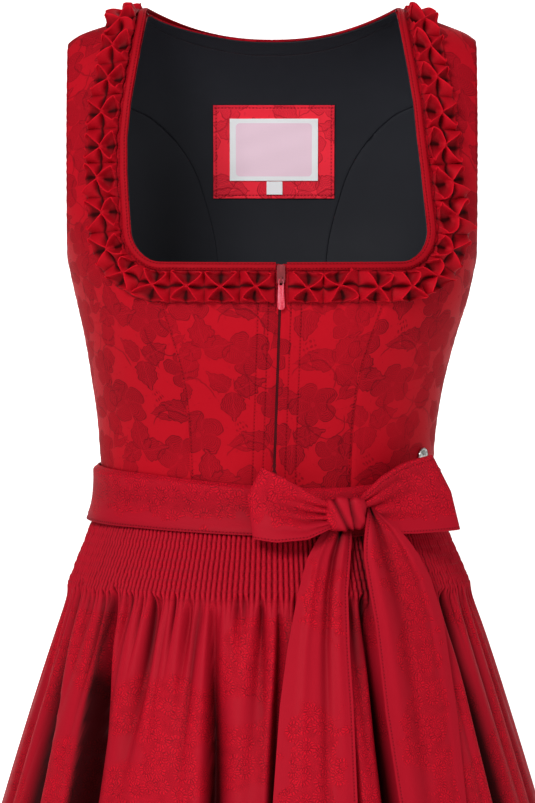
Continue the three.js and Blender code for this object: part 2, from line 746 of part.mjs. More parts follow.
// A loop runs out from the knot in front and back again behind. reach is 0 at the knot, 1 at the tip.
const loops = [
  {
    word: "left",
    start: knot.x - knot.halfWidth - loopGap,
    outline: [
      { reach: 0, top: -364, bottom: -379 },
      { reach: 0.3, top: -355, bottom: -384 },
      { reach: 0.7, top: -343, bottom: -388 },
      { reach: 1, top: -338, bottom: -389 },
    ],
    tip: [
      { v: 0, x: -12.6 },
      { v: 0.6, x: -17.8 },
      { v: 1, x: -8.9 },
    ],
  },
  {
    word: "right",
    start: knot.x + knot.halfWidth - loopGap,
    outline: [
      { reach: 0, top: -362, bottom: -378 },
      { reach: 0.3, top: -350, bottom: -384 },
      { reach: 0.6, top: -340, bottom: -386 },
      { reach: 1, top: -330, bottom: -385 },
    ],
    tip: [
      { v: 0, x: 137.6 },
      { v: 0.5, x: 131 },
      { v: 1, x: 117 },
    ],
  },
];
const loop = { deep: 13, thick: 1.5, throat: 2 };

for (const { word, start, outline, tip } of loops) {
  const surface = (u, v) => {
    const reach = (1 - Math.cos(2 * Math.PI * u)) / 2;
    const x = lerp(start, lookUp(tip, "v", v, "x"), reach);
    const z = lerp(lookUp(outline, "reach", reach, "bottom"), lookUp(outline, "reach", reach, "top"), v);
    const swell = (loop.deep * (1 + Math.sin(2 * Math.PI * u))) / 2;
    const apart = loop.throat * (1 + Math.cos(Math.PI * u));
    return new THREE.Vector3(x, sashFrontY(x, z) - bowClear - loop.thick - swell - apart, z);
  };
  add(
    `bow_loop_${word}`,
    wall({ surface, rows: evenly(4), columns: evenly(18), thick: loop.thick }),
    apronCloth,
  );
}

// The tails hang from the knot over the apron. from and to: their edges at each height.
const tails = [
  {
    word: "left",
    edges: [
      { z: -830, from: -24, to: 50, lift: 7 },
      { z: -587, from: -1, to: 62, lift: 7 },
      { z: -430, from: 21, to: 51, lift: 7.5 },
      { z: -407, from: 25, to: 49.6, lift: 9 },
      { z: -385.6, from: 36, to: 50, lift: 10 },
    ],
  },
  {
    word: "right",
    edges: [
      { z: -815, from: 112, to: 163, lift: 7 },
      { z: -587, from: 94.3, to: 141.6, lift: 7 },
      { z: -508, from: 82, to: 134, lift: 7 },
      { z: -450, from: 73, to: 124.8, lift: 9 },
      { z: -407, from: 66.4, to: 98, lift: 11 },
      { z: -385.6, from: 58, to: 76, lift: 10 },
    ],
  },
];
const tailThick = 1.5;
const tailFold = { place: 0.45, width: 0.16, depth: 5 };

for (const { word, edges } of tails) {
  const [end, start] = [edges[0].z, edges.at(-1).z];
  const surface = (u, v) => {
    const z = lerp(end, start, v);
    const [from, to, lift] = ["from", "to", "lift"].map((column) => lookUp(edges, "z", z, column));
    const x = lerp(from, to, u);
    const level = levelAt(z);
    const fold = tailFold.depth * bell(u, tailFold.place, tailFold.width) * smooth(start, start - 60, z);
    return new THREE.Vector3(x, formPoint(turnAt(x, level), level).y - lift - fold, z);
  };
  add(
    `bow_tail_${word}`,
    wall({ surface, rows: evenly(10), columns: evenly(7), thick: tailThick }),
    apronCloth,
  );
}

export default garment;
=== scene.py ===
import math
import random

import bmesh
import bpy
import numpy as np
from mathutils import Matrix, Vector


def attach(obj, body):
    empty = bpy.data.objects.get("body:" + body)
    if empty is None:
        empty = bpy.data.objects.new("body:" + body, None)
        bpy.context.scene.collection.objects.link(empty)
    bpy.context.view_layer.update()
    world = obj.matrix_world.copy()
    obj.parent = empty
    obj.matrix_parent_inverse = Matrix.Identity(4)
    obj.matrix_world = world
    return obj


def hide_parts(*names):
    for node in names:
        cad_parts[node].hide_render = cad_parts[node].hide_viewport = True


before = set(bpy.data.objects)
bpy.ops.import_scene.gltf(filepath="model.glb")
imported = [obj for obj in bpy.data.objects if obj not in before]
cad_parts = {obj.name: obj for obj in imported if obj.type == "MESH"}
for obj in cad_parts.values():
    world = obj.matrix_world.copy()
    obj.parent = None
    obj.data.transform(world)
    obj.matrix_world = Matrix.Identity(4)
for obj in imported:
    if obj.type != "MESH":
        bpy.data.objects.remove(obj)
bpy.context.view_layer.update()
print("frame loaded, %d nodes" % len(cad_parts))

mm = 0.001
sides = [("left", -1), ("right", 1)]  # the viewer's left and right


# Camera, floor and light

camera = dict(
    distance=4.5,
    elevation=3.0,  # degrees above the horizon
    target=(-0.0033, 0.0, -0.2897),
    height=0.594,  # metres of the subject from the top of the image to its bottom
    sensor=36,
)
camData = bpy.data.cameras.new("camera")
camObject = bpy.data.objects.new("camera", camData)
bpy.context.scene.collection.objects.link(camObject)
tilt = math.radians(camera["elevation"])
towards = Vector((0, -math.cos(tilt), math.sin(tilt)))
camObject.location = Vector(camera["target"]) + camera["distance"] * towards
camObject.rotation_euler = (math.pi / 2 - tilt, 0, 0)
camData.sensor_width = camera["sensor"]
camData.lens = camera["sensor"] / (camera["height"] / camera["distance"])
camData.clip_end = 100
bpy.context.scene.camera = camObject
bpy.context.scene.view_settings.view_transform = "Standard"

surround = 0.34  # strength of the white light from all sides
litPoint = Vector((0, 0, -0.35))
lights = [
    dict(name="key", size=1.5, power=118, at=(-1.45, -3.3, 2.0)),
    dict(name="fill", size=2.6, power=16, at=(2.4, -2.8, 0.3)),
    dict(name="back", size=2.0, power=16, at=(0.6, 2.8, 1.6)),
]
for light in lights:
    lightData = bpy.data.lights.new(light["name"], "AREA")
    lightData.shape = "DISK"
    lightData.size = light["size"]
    lightData.energy = light["power"]
    lamp = bpy.data.objects.new(light["name"], lightData)
    bpy.context.scene.collection.objects.link(lamp)
    lamp.location = light["at"]
    aim = litPoint - lamp.location
    lamp.rotation_mode = "QUATERNION"
    lamp.rotation_quaternion = aim.to_track_quat("-Z", "Y")

studio = bpy.data.worlds.new("studio")
studio.use_nodes = True
glowing = studio.node_tree.nodes["Background"].inputs
glowing["Color"].default_value = (1, 1, 1, 1)
glowing["Strength"].default_value = surround
bpy.context.scene.world = studio


# Materials: a Wire is the output of a node, and sums on it add Math nodes
class Wire:
    def __init__(self, finish, socket):
        self.finish = finish
        self.socket = socket

    def math(self, operation, *others):
        return self.finish.node("Math", dict(operation=operation), [self, *others])

    def __add__(self, other):
        return self.math("ADD", other)

    def __sub__(self, other):
        return self.math("SUBTRACT", other)

    def __rsub__(self, other):
        return self.finish.node("Math", dict(operation="SUBTRACT"), [other, self])

    def __mul__(self, other):
        return self.math("MULTIPLY", other)

    def __truediv__(self, other):
        return self.math("DIVIDE", other)

    def __pow__(self, other):
        return self.math("POWER", other)

    def __abs__(self):
        return self.math("ABSOLUTE")

    __radd__ = __add__
    __rmul__ = __mul__

    def most(self, other):
        return self.math("MAXIMUM", other)

    def least(self, other):
        return self.math("MINIMUM", other)

    def sine(self):
        return self.math("SINE")

    def rise(self, low, high):  # 0 below low, 1 above high, smooth between; low may be the greater
        settings = dict(interpolation_type="SMOOTHSTEP")
        return self.finish.node("MapRange", settings, [self, low, high])

    def parts(self, count=2):
        first = self.finish.node("SeparateXYZ", {}, [self])
        outputs = first.socket.node.outputs
        return [first] + [Wire(self.finish, outputs[i]) for i in range(1, count)]


class Finish:
    def __init__(self, name):
        self.material = bpy.data.materials.new(name)
        self.material.use_nodes = True
        self.tree = self.material.node_tree
        self.shader = self.tree.nodes["Principled BSDF"]

    def node(self, kind, settings, values=(), out=0):
        made = self.tree.nodes.new("ShaderNode" + kind)
        for key, value in settings.items():
            setattr(made, key, value)
        for place, value in values.items() if isinstance(values, dict) else enumerate(values):
            if isinstance(value, Wire):
                self.tree.links.new(value.socket, made.inputs[place])
            else:
                made.inputs[place].default_value = value
        return Wire(self, made.outputs[out])

    def feed(self, **sockets):  # a Wire is linked, and a plain value set on the shader
        for name, value in sockets.items():
            socket = self.shader.inputs[name.replace("_", " ")]
            if isinstance(value, Wire):
                self.tree.links.new(value.socket, socket)
            else:
                socket.default_value = value

    def mix(self, share, first, second, blend="MIX"):
        settings = dict(data_type="RGBA", blend_type=blend)
        return self.node("Mix", settings, {0: share, 6: first, 7: second}, 2)

    def pattern(self):
        return self.node("UVMap", dict(uv_map="pattern"))

    def onPiece(self):  # the place in the object
        return self.node("TexCoord", {}, out=3)

    def stored(self, name, out=1):
        return self.node("Attribute", dict(attribute_name=name), out=out)

    def border(self, side):  # how far a place on a sheet is from its left, right, bottom or top
        word = "fromSides" if side in ("left", "right") else "fromEnds"
        return self.stored(word).parts()[1 if side in ("right", "top") else 0]

    def noise(self, place, scale, detail=2, out=0):
        return self.node("TexNoise", {}, {0: place, 2: scale, 3: detail}, out)

    def scaled(self, place, size):
        return self.node("Mapping", {}, {0: place, 3: size})

    def vector(self, operation, first, second):
        socket = 3 if operation == "SCALE" else 1
        return self.node("VectorMath", dict(operation=operation), {0: first, socket: second})

    def ragged(self, place, scale, amount):  # the place, moved to and fro by up to half of amount mm
        off = self.vector("SUBTRACT", self.noise(place, scale, 2, 1), (0.5, 0.5, 0.5))
        return self.vector("ADD", place, self.vector("SCALE", off, amount * mm))

    def bump(self, height, distance):
        self.feed(Normal=self.node("Bump", {}, {0: 1.0, 1: distance, 3: height}))


def srgb(red, green, blue):
    def linear(value):
        share = value / 255
        return share / 12.92 if share <= 0.04045 else ((share + 0.055) / 1.055) ** 2.4

    return (linear(red), linear(green), linear(blue), 1)


def dimmed(colour, share):
    return tuple(share * part for part in colour[:3]) + (1,)


def fromCentre(x, y):
    return (x * x + y * y).math("SQRT")


# One motif of a jacquard, seen from its own place in a repeat that has no edges
def fromMotif(finish, place, repeat, motif):
    x, y, turn, long, wide = motif
    moved = finish.vector("SUBTRACT", place, (x * mm, y * mm, 0))
    half = [size * mm / 2 for size in repeat]
    ends = [(*half, 1), (-half[0], -half[1], -1)]
    near = finish.node("VectorMath", dict(operation="WRAP"), [moved, *ends])
    values = {0: near, 2: (0, 0, math.radians(turn)), 3: (long * mm, wide * mm, 1)}
    return finish.node("Mapping", dict(vector_type="TEXTURE"), values).parts()


def hatched(edge, lines):  # fine lines that follow an outline
    return abs((edge * lines).math("FRACT") - 0.5).rise(0.12, 0.36)


# Each shape gives 1 inside it, on its outline, on its light veins and between its fine lines
def leafShape(x, y):
    along = x.most(0).least(1)
    edge = (along ** 0.7 * math.pi).sine() + (x * 34).sine() * 0.05 + (x * 13).sine() * 0.06 - abs(y)
    inside = edge.rise(0, 0.06)
    outline = abs(edge).rise(0.085, 0.025) * x.rise(-0.04, 0) * x.rise(1.04, 1)
    veins = abs((along * 5 - abs(y) * 1.1).math("FRACT") - 0.5).rise(0.09, 0.02) * 0.5
    return inside, outline, abs(y).rise(0.09, 0.03).most(veins) * inside, hatched(edge, 6)


def pairShape(x, y):  # two narrow leaves that part from one stalk
    along = x.most(0).least(1)
    fromMiddle = abs(abs(y) - along * 0.75)
    edge = (along * math.pi).sine() * 0.34 - fromMiddle
    inside = edge.rise(0, 0.03)
    outline = abs(edge).rise(0.05, 0.015) * x.rise(-0.1, -0.05) * x.rise(1.1, 1.05)
    return inside, outline, fromMiddle.rise(0.04, 0.015) * inside, hatched(edge, 8)


def flowerShape(x, y):  # round petals that meet along light lines
    away = fromCentre(x, y)
    petal = abs((y.math("ARCTAN2", x) * 2.5 + away * 0.9).sine())
    edge = petal ** 0.5 * 0.42 + 0.56 - away
    inside = edge.rise(0, 0.03)
    parting = (petal.rise(0.2, 0.06) * away.rise(0.14, 0.3)).most(away.rise(0.13, 0.09))
    return inside, abs(edge).rise(0.035, 0.012), parting * inside, hatched(edge, 13)


def berryShape(x, y):
    near = fromCentre(x, y).rise(1, 0.8)
    dots = ((x * 7).sine() * (y * 8 + x * 4).sine()).rise(0.2, 0.45)
    return dots * near, dots * near * 0.6, dots * 0, dots * 0


satin = dict(
    ground=srgb(176, 11, 28),
    motif=srgb(126, 9, 22),
    line=srgb(102, 7, 18),
    vein=srgb(176, 15, 32),
    repeat=(80, 102),  # mm, and each motif has its x, y, turn, length and width in this repeat
    flowers=[(48, 16, 20, 19, 17), (8, 56, 80, 17, 20), (66, 80, 140, 15, 14)],
    leaves=[
        (18, 20, 100, 25, 9), (17, 19, 12, 22, 9), (15, 20, 196, 20, 7.5), (62, 48, 62, 27, 10),
        (60, 47, 155, 22, 8.5), (63, 45, -42, 23, 8), (34, 88, -88, 22, 9), (36, 90, 22, 24, 8),
        (32, 90, 138, 20, 7), (80, 98, 72, 23, 8), (80, 96, -110, 18, 7),
    ],
    pairs=[(66, 20, 45, 18, 8), (90, 70, 215, 19, 8), (30, 48, 5, 17, 7.5), (46, 84, 112, 16, 7)],
    berries=[(40, 60, 0, 5, 6.5), (84, 22, 30, 5.5, 5)],
    stems=[(46, 36, 0, 17, 14), (6, 82, 40, 15, 19), (76, 14, 160, 18, 12), (58, 108, 200, 14, 16)],
)
daisies = dict(
    ground=srgb(169, 17, 36),
    motif=srgb(216, 15, 38),
    line=srgb(92, 5, 17),
    cell=12.5,  # mm from flower to flower
    cluster=60,  # mm across a cluster
    petals=15,
    uneven=0.62,  # how far the flowers stray from even rows
)


# The red of a cloth at each place: ground, motif and how far the place is raised
def satinColours(finish, place, satin=satin):
    drawn = finish.ragged(place, 95, 6)
    shapes = dict(flowers=flowerShape, leaves=leafShape, pairs=pairShape, berries=berryShape)
    inside = outline = lines = engraved = None
    for kind, shape in shapes.items():
        for motif in satin[kind]:
            here, edge, veins, fine = shape(*fromMotif(finish, drawn, satin["repeat"], motif))
            if inside is None:
                inside, outline, lines, engraved = here, edge, veins, here * fine
            else:
                inside, outline, lines = inside.most(here), outline.most(edge), lines.most(veins)
                engraved = engraved * (1 - here * 0.7) + here * fine
    for motif in satin["stems"]:
        x, y = fromMotif(finish, drawn, satin["repeat"], motif)
        ring = abs(fromCentre(x, y) - 1).rise(0.05, 0.02) * (y + x * 0.4).rise(-0.25, 0.0)
        outline = outline.most(ring * 0.8)
    worn = finish.noise(place, 11, 1).rise(0.3, 0.7)  # the pattern shows more in some places
    fill = (inside * 0.38 + engraved.least(1) * 0.68) * (0.55 + worn * 0.45)
    fill = fill * (0.75 + finish.noise(place, 60, 3) * 0.5)
    fill = fill * (0.6 + finish.noise(place, 1200, 2).rise(0.3, 0.65) * 0.65)
    colour = finish.mix(fill.least(1), satin["ground"], satin["motif"])
    colour = finish.mix(outline * (0.5 + worn * 0.4), colour, satin["line"])
    colour = finish.mix(lines * 0.4, colour, satin["vein"])
    return colour, inside


# The flowers of the apron's cloth, left out within plain mm of the edges that are named. They stand in
# clusters, or all over where the cloth is full, and share says how strongly they show.
def daisyColours(plain=0, edges=(), full=False, share=1.0):
    def colours(finish, place):
        cells = finish.scaled(finish.ragged(place, 330, 3.2), (1 / (daisies["cell"] * mm),) * 3)
        settings = dict(voronoi_dimensions="2D", feature="F1")
        values = {0: cells, 2: 1, 8: daisies["uneven"]}
        gap, centre = (finish.node("TexVoronoi", settings, values, out) for out in (0, 2))
        x, y = finish.vector("SUBTRACT", cells, centre).parts()
        ring = gap.rise(0.26, 0.29)
        petals = (y.math("ARCTAN2", x) * daisies["petals"] + ring * math.pi).sine().rise(-0.9, 0.0)
        petals = petals * abs(gap - 0.275).rise(0.005, 0.03)
        flower = gap.rise(0.52, 0.48) * gap.rise(0.09, 0.12) * petals
        heart = abs(gap - 0.05).rise(0.04, 0.02)
        cluster = finish.noise(place, 1000 / daisies["cluster"], 1.5)
        cluster = cluster.rise(*((0.2, 0.3) if full else (0.43, 0.48)))
        wander = finish.noise(place, 70, 1) * (46 * mm) - 23 * mm
        for side in edges:
            near = finish.border(side) + wander
            cluster = cluster * near.rise((plain - 1) * mm, (plain + 1) * mm)
        values = {0: place, 1: 230, 2: 14.0, 3: 2.0, 4: 160}
        strokes = finish.node("TexWave", dict(bands_direction="DIAGONAL"), values).rise(0.45, 0.7)
        speckle = finish.noise(place, 1100, 2).rise(0.3, 0.62)
        drawn = flower.most(heart).most(strokes * gap.rise(0.46, 0.52)) * (0.35 + 0.65 * speckle)
        mask = cluster * drawn
        uneven = finish.noise(place, 130, 2).rise(0.35, 0.65)
        hollow = cluster * (1 - drawn) * (0.3 + 0.3 * gap.rise(0.66, 0.4) + 0.4 * uneven)
        colour = finish.mix(mask * (0.78 * share), daisies["ground"], daisies["motif"])
        return finish.mix(hollow * (0.6 * share), colour, daisies["line"]), mask * share

    return colours


def plainColours(ground):
    def colours(finish, place):
        uneven = finish.noise(place, 60, 3)
        return finish.mix(uneven * 0.5, ground, dimmed(ground, 0.72)), uneven * 0

    return colours


weave, stitchPitch = 0.45, 2.6  # mm between threads and between stitches
darkest = -0.93  # the shade at the bottom of a deep fold


# A cloth's finish. Each sheet carries its own lines of sewing and its painted shade as attributes: sewnLeft
# and sewnRight give up to three distances from a side in mm, and sewnEnds one from the bottom and one from
# the top. A shade below 0 is painted shade, as in the depth of a fold, and one above 0 is painted light.
def clothFinish(name, colours, sheen=0.03, sheenTint=(0.8, 0.1, 0.12, 1), gloss=0.05):
    finish = Finish(name)
    place = finish.pattern()
    colour, raised = colours(finish, place)
    shade = finish.stored("shade", 2) + 1
    colour = finish.mix(1.0, colour, shade, "MULTIPLY")
    u, v = place.parts()
    beats = 2 * math.pi / (weave * mm)
    threads = (u * beats).sine() * (v * beats).sine()
    slub = finish.noise(finish.scaled(place, (90, 900, 1)), 1, 2)
    height = threads * 0.04 + slub * 0.1 + raised * 0.12
    nearSides, nearEnds = finish.stored("fromSides").parts(), finish.stored("fromEnds").parts()
    ends = finish.stored("sewnEnds").parts()
    fromLine = lambda near, distance: abs(near - distance * mm) + distance.math("LESS_THAN", 0.1)
    upright, level = [], [fromLine(nearEnds[side], ends[side]) for side in range(2)]
    for side, word in enumerate(("sewnLeft", "sewnRight")):
        upright += [fromLine(nearSides[side], distance) for distance in finish.stored(word).parts(3)]
    for lines, along in ((upright, v), (level, u)):
        line = lines[0]
        for other in lines[1:]:
            line = line.least(other)
        beat = abs((along / (stitchPitch * mm)).math("FRACT") - 0.5)
        groove = line.rise(1.2 * mm, 0.2 * mm)
        hole = line.rise(0.6 * mm, 0.25 * mm) * beat.rise(0.26, 0.38)
        thread = line.rise(0.4 * mm, 0.15 * mm) * beat.rise(0.3, 0.22)
        # painted shade in the groove of each line of stitches and in its holes
        colour = finish.mix(groove * 0.06 + hole * 0.5, colour, (0.02, 0.001, 0.002, 1))
        height = height - groove * 0.8 - hole * 0.7 + thread * 0.7
    finish.feed(
        Base_Color=colour,
        Roughness=0.55 + raised * 0.14,
        Sheen_Weight=sheen,
        Sheen_Roughness=0.45,
        Sheen_Tint=sheenTint,
        Specular_IOR_Level=gloss,
    )
    finish.bump(height, 0.25 * mm)
    return finish.material


print("materials made")


# The form that the cloth takes: sections from the hem up to the shoulder ridge, in mm

hemZ, apronHemZ, apronTopZ, waistZ, neckZ = -1013, -985, -372, -363, -184
shoulderHalf, neckHalf, backNeckDip = 151, 92, 22.8
formRows = np.array([  # height, half width, depth to the front, depth to the back, roundness
    (hemZ, 297, 262, 272, 2.05), (-850, 264, 236, 246, 2.05), (-700, 228, 205, 212, 2.05),
    (-574, 192, 172, 178, 2.05), (-480, 163, 141, 147, 2.05), (-425, 145, 117, 122, 2.05),
    (-388, 130, 97, 94, 2.05), (waistZ, 122, 86, 76, 2.08), (-330, 123.4, 86, 75, 2.1),
    (-300, 126, 92, 77, 2.15), (-270, 131, 101, 81, 2.2), (-240, 137.5, 108, 85, 2.2),
    (-212, 145, 110, 88, 2.2), (-185, shoulderHalf, 106, 90, 2.2), (-155, 158, 98, 91, 2.2),
    (-120, 164, 87, 89, 2.2), (-85, 168, 75, 84, 2.2), (-52, 170, 61, 73, 2.2),
    (-26, 170, 44, 55, 2.2), (-8, 170, 24, 30, 2.2), (0, 170, 0, 0, 2.2),
], float)
ridge = len(formRows) - 1
bust = dict(x=78, z=-226, lift=6, wide=40, tall=44)
shoulder = dict(
    slope=0.335,  # fall of the ridge from the neck outwards
    tip=4,  # mm that its rounded outer end falls further
    low=2.4,  # mm that the left one hangs lower
    fadeZ=-150,
)
cornerRise = 24  # mm over which the neck edge turns up at its corner
yokeZ = -48.6  # where the side back ends and the strap is all centre back


def table(*rows):  # values for each height
    return np.array(sorted(rows), float)


def rowsAt(rows, z):  # every column of a table
    return [np.interp(z, rows[:, 0], column) for column in rows.T[1:]]


def lookUp(rows, z):
    return rowsAt(rows, z)[0]


sway = table((hemZ, -1), (-500, -1.3), (-430, -2), (waistZ, -3.2), (-320, -3.7), (-275, -3),
             (-245, -1.5), (-215, 0))


def smooth(low, high, x):
    share = np.clip((np.asarray(x, float) - low) / (high - low), 0, 1)
    return share * share * (3 - 2 * share)


def bell(x, centre, width, power=2):
    return np.exp(-(np.abs((x - centre) / width) ** power))


def wrapped(turn):  # from -180 to 180
    return np.mod(turn + 180, 360) - 180


def lengthAlong(points, axis=0):  # from the first point of each row to the others
    steps = np.linalg.norm(np.diff(points, axis=axis), axis=-1)
    return np.concatenate([np.zeros_like(steps.take([0], axis)), np.cumsum(steps, axis=axis)], axis)


def lerp(a, b, share):
    return a + (b - a) * share


def between(at, column, mirrored=False):  # a smooth curve through the rows of the form
    at = np.asarray(at, float)
    values = formRows[:, column]
    past = -values[-2] if mirrored else values[-2]
    ends = np.concatenate([[2 * values[0] - values[1]], values, [past]])
    row = np.clip(np.floor(at), 0, ridge - 1).astype(int)
    f = at - row
    a, b, c, d = ends[row], ends[row + 1], ends[row + 2], ends[row + 3]
    return b + 0.5 * f * (c - a + f * (2 * a - 5 * b + 4 * c - d + f * (3 * (b - c) + d - a)))


levels = np.linspace(0, ridge, 8001)
heights = between(levels, 0)


def heightAt(level):
    return np.interp(np.minimum(level, 2 * ridge - level), levels, heights)


def levelAt(z):
    return np.interp(z, heights, levels)


# A point of the form in mm: turn is 0 at centre front, 90 at the right side seam, 180 at centre back
def formPoint(turn, level):
    turn, level = np.broadcast_arrays(np.asarray(turn, float), np.asarray(level, float))
    over = level > ridge
    turn = np.where(over, 180 - turn, turn)
    level = np.where(over, 2 * ridge - level, level)
    z, half, rounding = between(level, 0), between(level, 1), between(level, 4)
    sine, cosine = np.sin(np.radians(turn)), np.cos(np.radians(turn))
    x = half * np.sign(sine) * np.abs(sine) ** (2 / rounding)
    swell = bust["lift"] * bell(np.abs(x), bust["x"], bust["wide"]) * bell(z, bust["z"], bust["tall"])
    front = -between(level, 2, True) - swell * smooth(0, 0.5, cosine)
    depth = np.where(cosine > 0, front, between(level, 3, True))
    beyond = np.maximum(0, np.abs(x) - neckHalf)
    tip = shoulder["tip"] * (beyond / (shoulderHalf - neckHalf)) ** 10
    tip = tip + shoulder["low"] * smooth(-40, -90, x)
    drop = (shoulder["slope"] * beyond + tip) * smooth(shoulder["fadeZ"], 0, z)
    leaning = lookUp(sway, z) * np.abs(sine) ** (4 / rounding)
    return np.stack([x + leaning, depth * np.abs(cosine) ** (2 / rounding), z - drop], -1)


def turnAt(x, level, onBack=False):
    share = np.minimum(1, np.abs(x) / between(level, 1))
    turn = np.degrees(np.arcsin(share ** (between(level, 4) / 2)))
    return np.where(x < 0, -1, 1) * (180 - turn if onBack else turn)


def pointAt(x, level, onBack=False):
    return formPoint(turnAt(x, level, onBack), level)


def bordered(lines, share=0.04):  # one more line close to each end
    first, last = lerp(lines[0], lines[1], share), lerp(lines[-1], lines[-2], share)
    return np.concatenate([[lines[0], first], lines[1:-1], [last, lines[-1]]])


def store(mesh, name, values, kind="FLOAT_VECTOR"):  # a value for each vertex
    socket = "vector" if kind == "FLOAT_VECTOR" else "value"
    data = mesh.attributes.new(name, kind, "POINT").data
    data.foreach_set(socket, np.asarray(values, np.float32).ravel())


def placed(name, mesh):
    piece = bpy.data.objects.new(name, mesh)
    bpy.context.scene.collection.objects.link(piece)
    return piece


def solidPiece(name, bm, material, smoothed=True):  # a piece made of a bmesh
    mesh = bpy.data.meshes.new(name)
    bm.to_mesh(mesh)
    bm.free()
    if smoothed:
        mesh.shade_smooth()
    mesh.materials.append(material)
    return placed(name, mesh)


def nameShare(word):  # a steady share from a name
    return random.Random(word).random()


# A sheet of cloth: surface(u, v) gives points in mm, for u and v as grids. It is raised by lift off the
# surface, on the side that facing gives, and thick is added inwards.
def makeSheet(name, surface, columns, rows, material, lift=None, thick=1.0, facing=1, edge=0.0,
              stitches=(), shade=None):
    if not edge:  # a narrow line of faces at each border keeps the shading clear of the edge
        columns, rows = bordered(columns), bordered(rows)
    u, v = np.meshgrid(columns, rows)
    points = surface(u, v)
    normals = np.cross(np.gradient(points, axis=1), np.gradient(points, axis=0))
    normals /= np.maximum(np.linalg.norm(normals, axis=2, keepdims=True), 1e-12)
    raised = lift(u, v) if lift else 0 * u
    points = points + normals * (facing * raised)[..., None]

    bm = bmesh.new()
    bmesh.ops.create_grid(bm, x_segments=len(columns) - 1, y_segments=len(rows) - 1, size=0.5)
    mesh = bpy.data.meshes.new(name)
    if facing < 0:
        bmesh.ops.reverse_faces(bm, faces=bm.faces)
    bm.to_mesh(mesh)
    bm.free()
    mesh.vertices.foreach_set("co", (points * mm).reshape(-1))

    wide, tall = lengthAlong(points, 1), lengthAlong(points, 0)
    patternU = (wide - wide[:, -1:] / 2) * mm
    patternV = (tall.mean(axis=1, keepdims=True) + 0 * tall) * mm
    shift = (nameShare(name) * 1.7, nameShare(name[::-1]) * 2.3)
    pattern = np.stack([patternU * facing + shift[0], patternV + shift[1]], -1).reshape(-1, 2)
    corners = np.empty(len(mesh.loops), int)
    mesh.loops.foreach_get("vertex_index", corners)
    layer = mesh.uv_layers.new(name="pattern")
    layer.uv.foreach_set("vector", pattern[corners].astype(np.float32).ravel())
    store(mesh, "fromSides", np.stack([wide, wide[:, -1:] - wide, 0 * wide], -1) * mm)
    store(mesh, "fromEnds", np.stack([tall, tall[-1:] - tall, 0 * tall], -1) * mm)
    store(mesh, "shade", shade(u, v) if shade else 0 * u, "FLOAT")
    sewn = lambda side, count: ([away for edge, away in stitches if edge == side] + [0] * count)[:count]
    lines = dict(sewnLeft=sewn("left", 3), sewnRight=sewn("right", 3),
                 sewnEnds=sewn("bottom", 1) + sewn("top", 2))
    for word, distances in lines.items():
        store(mesh, word, np.tile(distances, (u.size, 1)))
    mesh.shade_smooth()
    mesh.materials.append(material)
    print("%s: %.3f by %.3f m" % (name, wide[:, -1].max() * mm, tall[-1].max() * mm))
    piece = placed(name, mesh)
    wall = piece.modifiers.new("thickness", "SOLIDIFY")
    wall.thickness = thick * mm
    wall.offset = -1
    if edge:
        trimmed = piece.modifiers.new("edge", "BEVEL")
        trimmed.width = edge * mm
        trimmed.segments = 2
        trimmed.limit_method = "ANGLE"
        trimmed.angle_limit = math.radians(60)
        trimmed.harden_normals = True
    return piece


def sewOn(piece, nodes, slot, body="garment", **sheet):
    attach(piece, body)
    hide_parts(*nodes)


# Seams and edges of the bodice, as the distance from the centre at each height
frontSeam = table((waistZ, 58), (-331, 58.8), (-304, 60), (-280, 62.5), (-258, 67), (-235, 74),
                  (-218, 80), (neckZ, 88))
backSeam = table((waistZ, 35), (-250, 37.5), (-177, 42), (-155, 47), (-122, 57), (-103, 68),
                 (-84, 84), (-68, 107), (-57, 130), (-48, shoulderHalf))
spots = np.linspace(waistZ, -48, 121)  # the back seam is drawn as one curve but for its top
rounded = np.mean([lookUp(backSeam, spots + shift) for shift in np.linspace(-10, 10, 15)], axis=0)
rounded = lerp(rounded, lookUp(backSeam, spots), smooth(-64, -50, spots))
backSeam = np.stack([spots, rounded], 1)
strapEdge = table((neckZ + cornerRise, 108.5), (-117, 107.5), (-91, 106), (-65, 103.5), (-44, 100),
                  (-24, 96.5), (0, neckHalf))
neckLean = table((neckZ, 6.5), (-160, 5.2), (-145, 3.8), (-118, 1.6), (-92, 0))
zipLine = table((waistZ, 0.7), (neckZ, 6.7))
seamGap, slitHalf, tapeHalf, cornerX = -0.5, 1.2, 9, 87  # panels lap at their seams


def backNeckZ(x):
    return -backNeckDip * (1 - np.minimum(1, np.abs(x) / neckHalf) ** 2.2)


def neckEdge(z, sign):  # at the front the neck leans to the right with the zip
    up = np.clip((z - neckZ) / cornerRise, 0, 1)
    corner = lerp(cornerX, strapEdge[0, 1], np.sqrt(1 - (1 - up) ** 2))
    return np.where(up >= 1, lookUp(strapEdge, z), corner) + sign * lookUp(neckLean, z)


def panel(sign, start, end, onBack=False):
    def surface(u, level):
        z = heightAt(level)
        limit = 89.9 if onBack else 90.1

        def edgeTurn(x):
            turn = turnAt(x, level, onBack)
            return np.maximum(turn, limit) if onBack else np.minimum(turn, limit)

        turns = edgeTurn(start(z) + seamGap / 2), edgeTurn(end(z) - seamGap / 2)
        share = u if (sign > 0) != onBack else 1 - u
        return formPoint(sign * lerp(*turns, share), level)

    return surface


yokeRow, ridgeRow = levelAt(yokeZ), ridge + 0.012  # the front and the back lap at the shoulder


def centreBack(u, level):
    across = 1 - 2 * u
    topX = np.abs(across) * shoulderHalf
    top = np.where(topX < neckHalf, levelAt(backNeckZ(topX)), ridgeRow)
    share = np.maximum(0, (level - yokeRow) / (ridgeRow - yokeRow))
    here = np.where(share > 0, lerp(yokeRow, top, share), level)
    reach = lookUp(backSeam, heightAt(here)) - seamGap / 2
    return pointAt(across * reach, here, True)


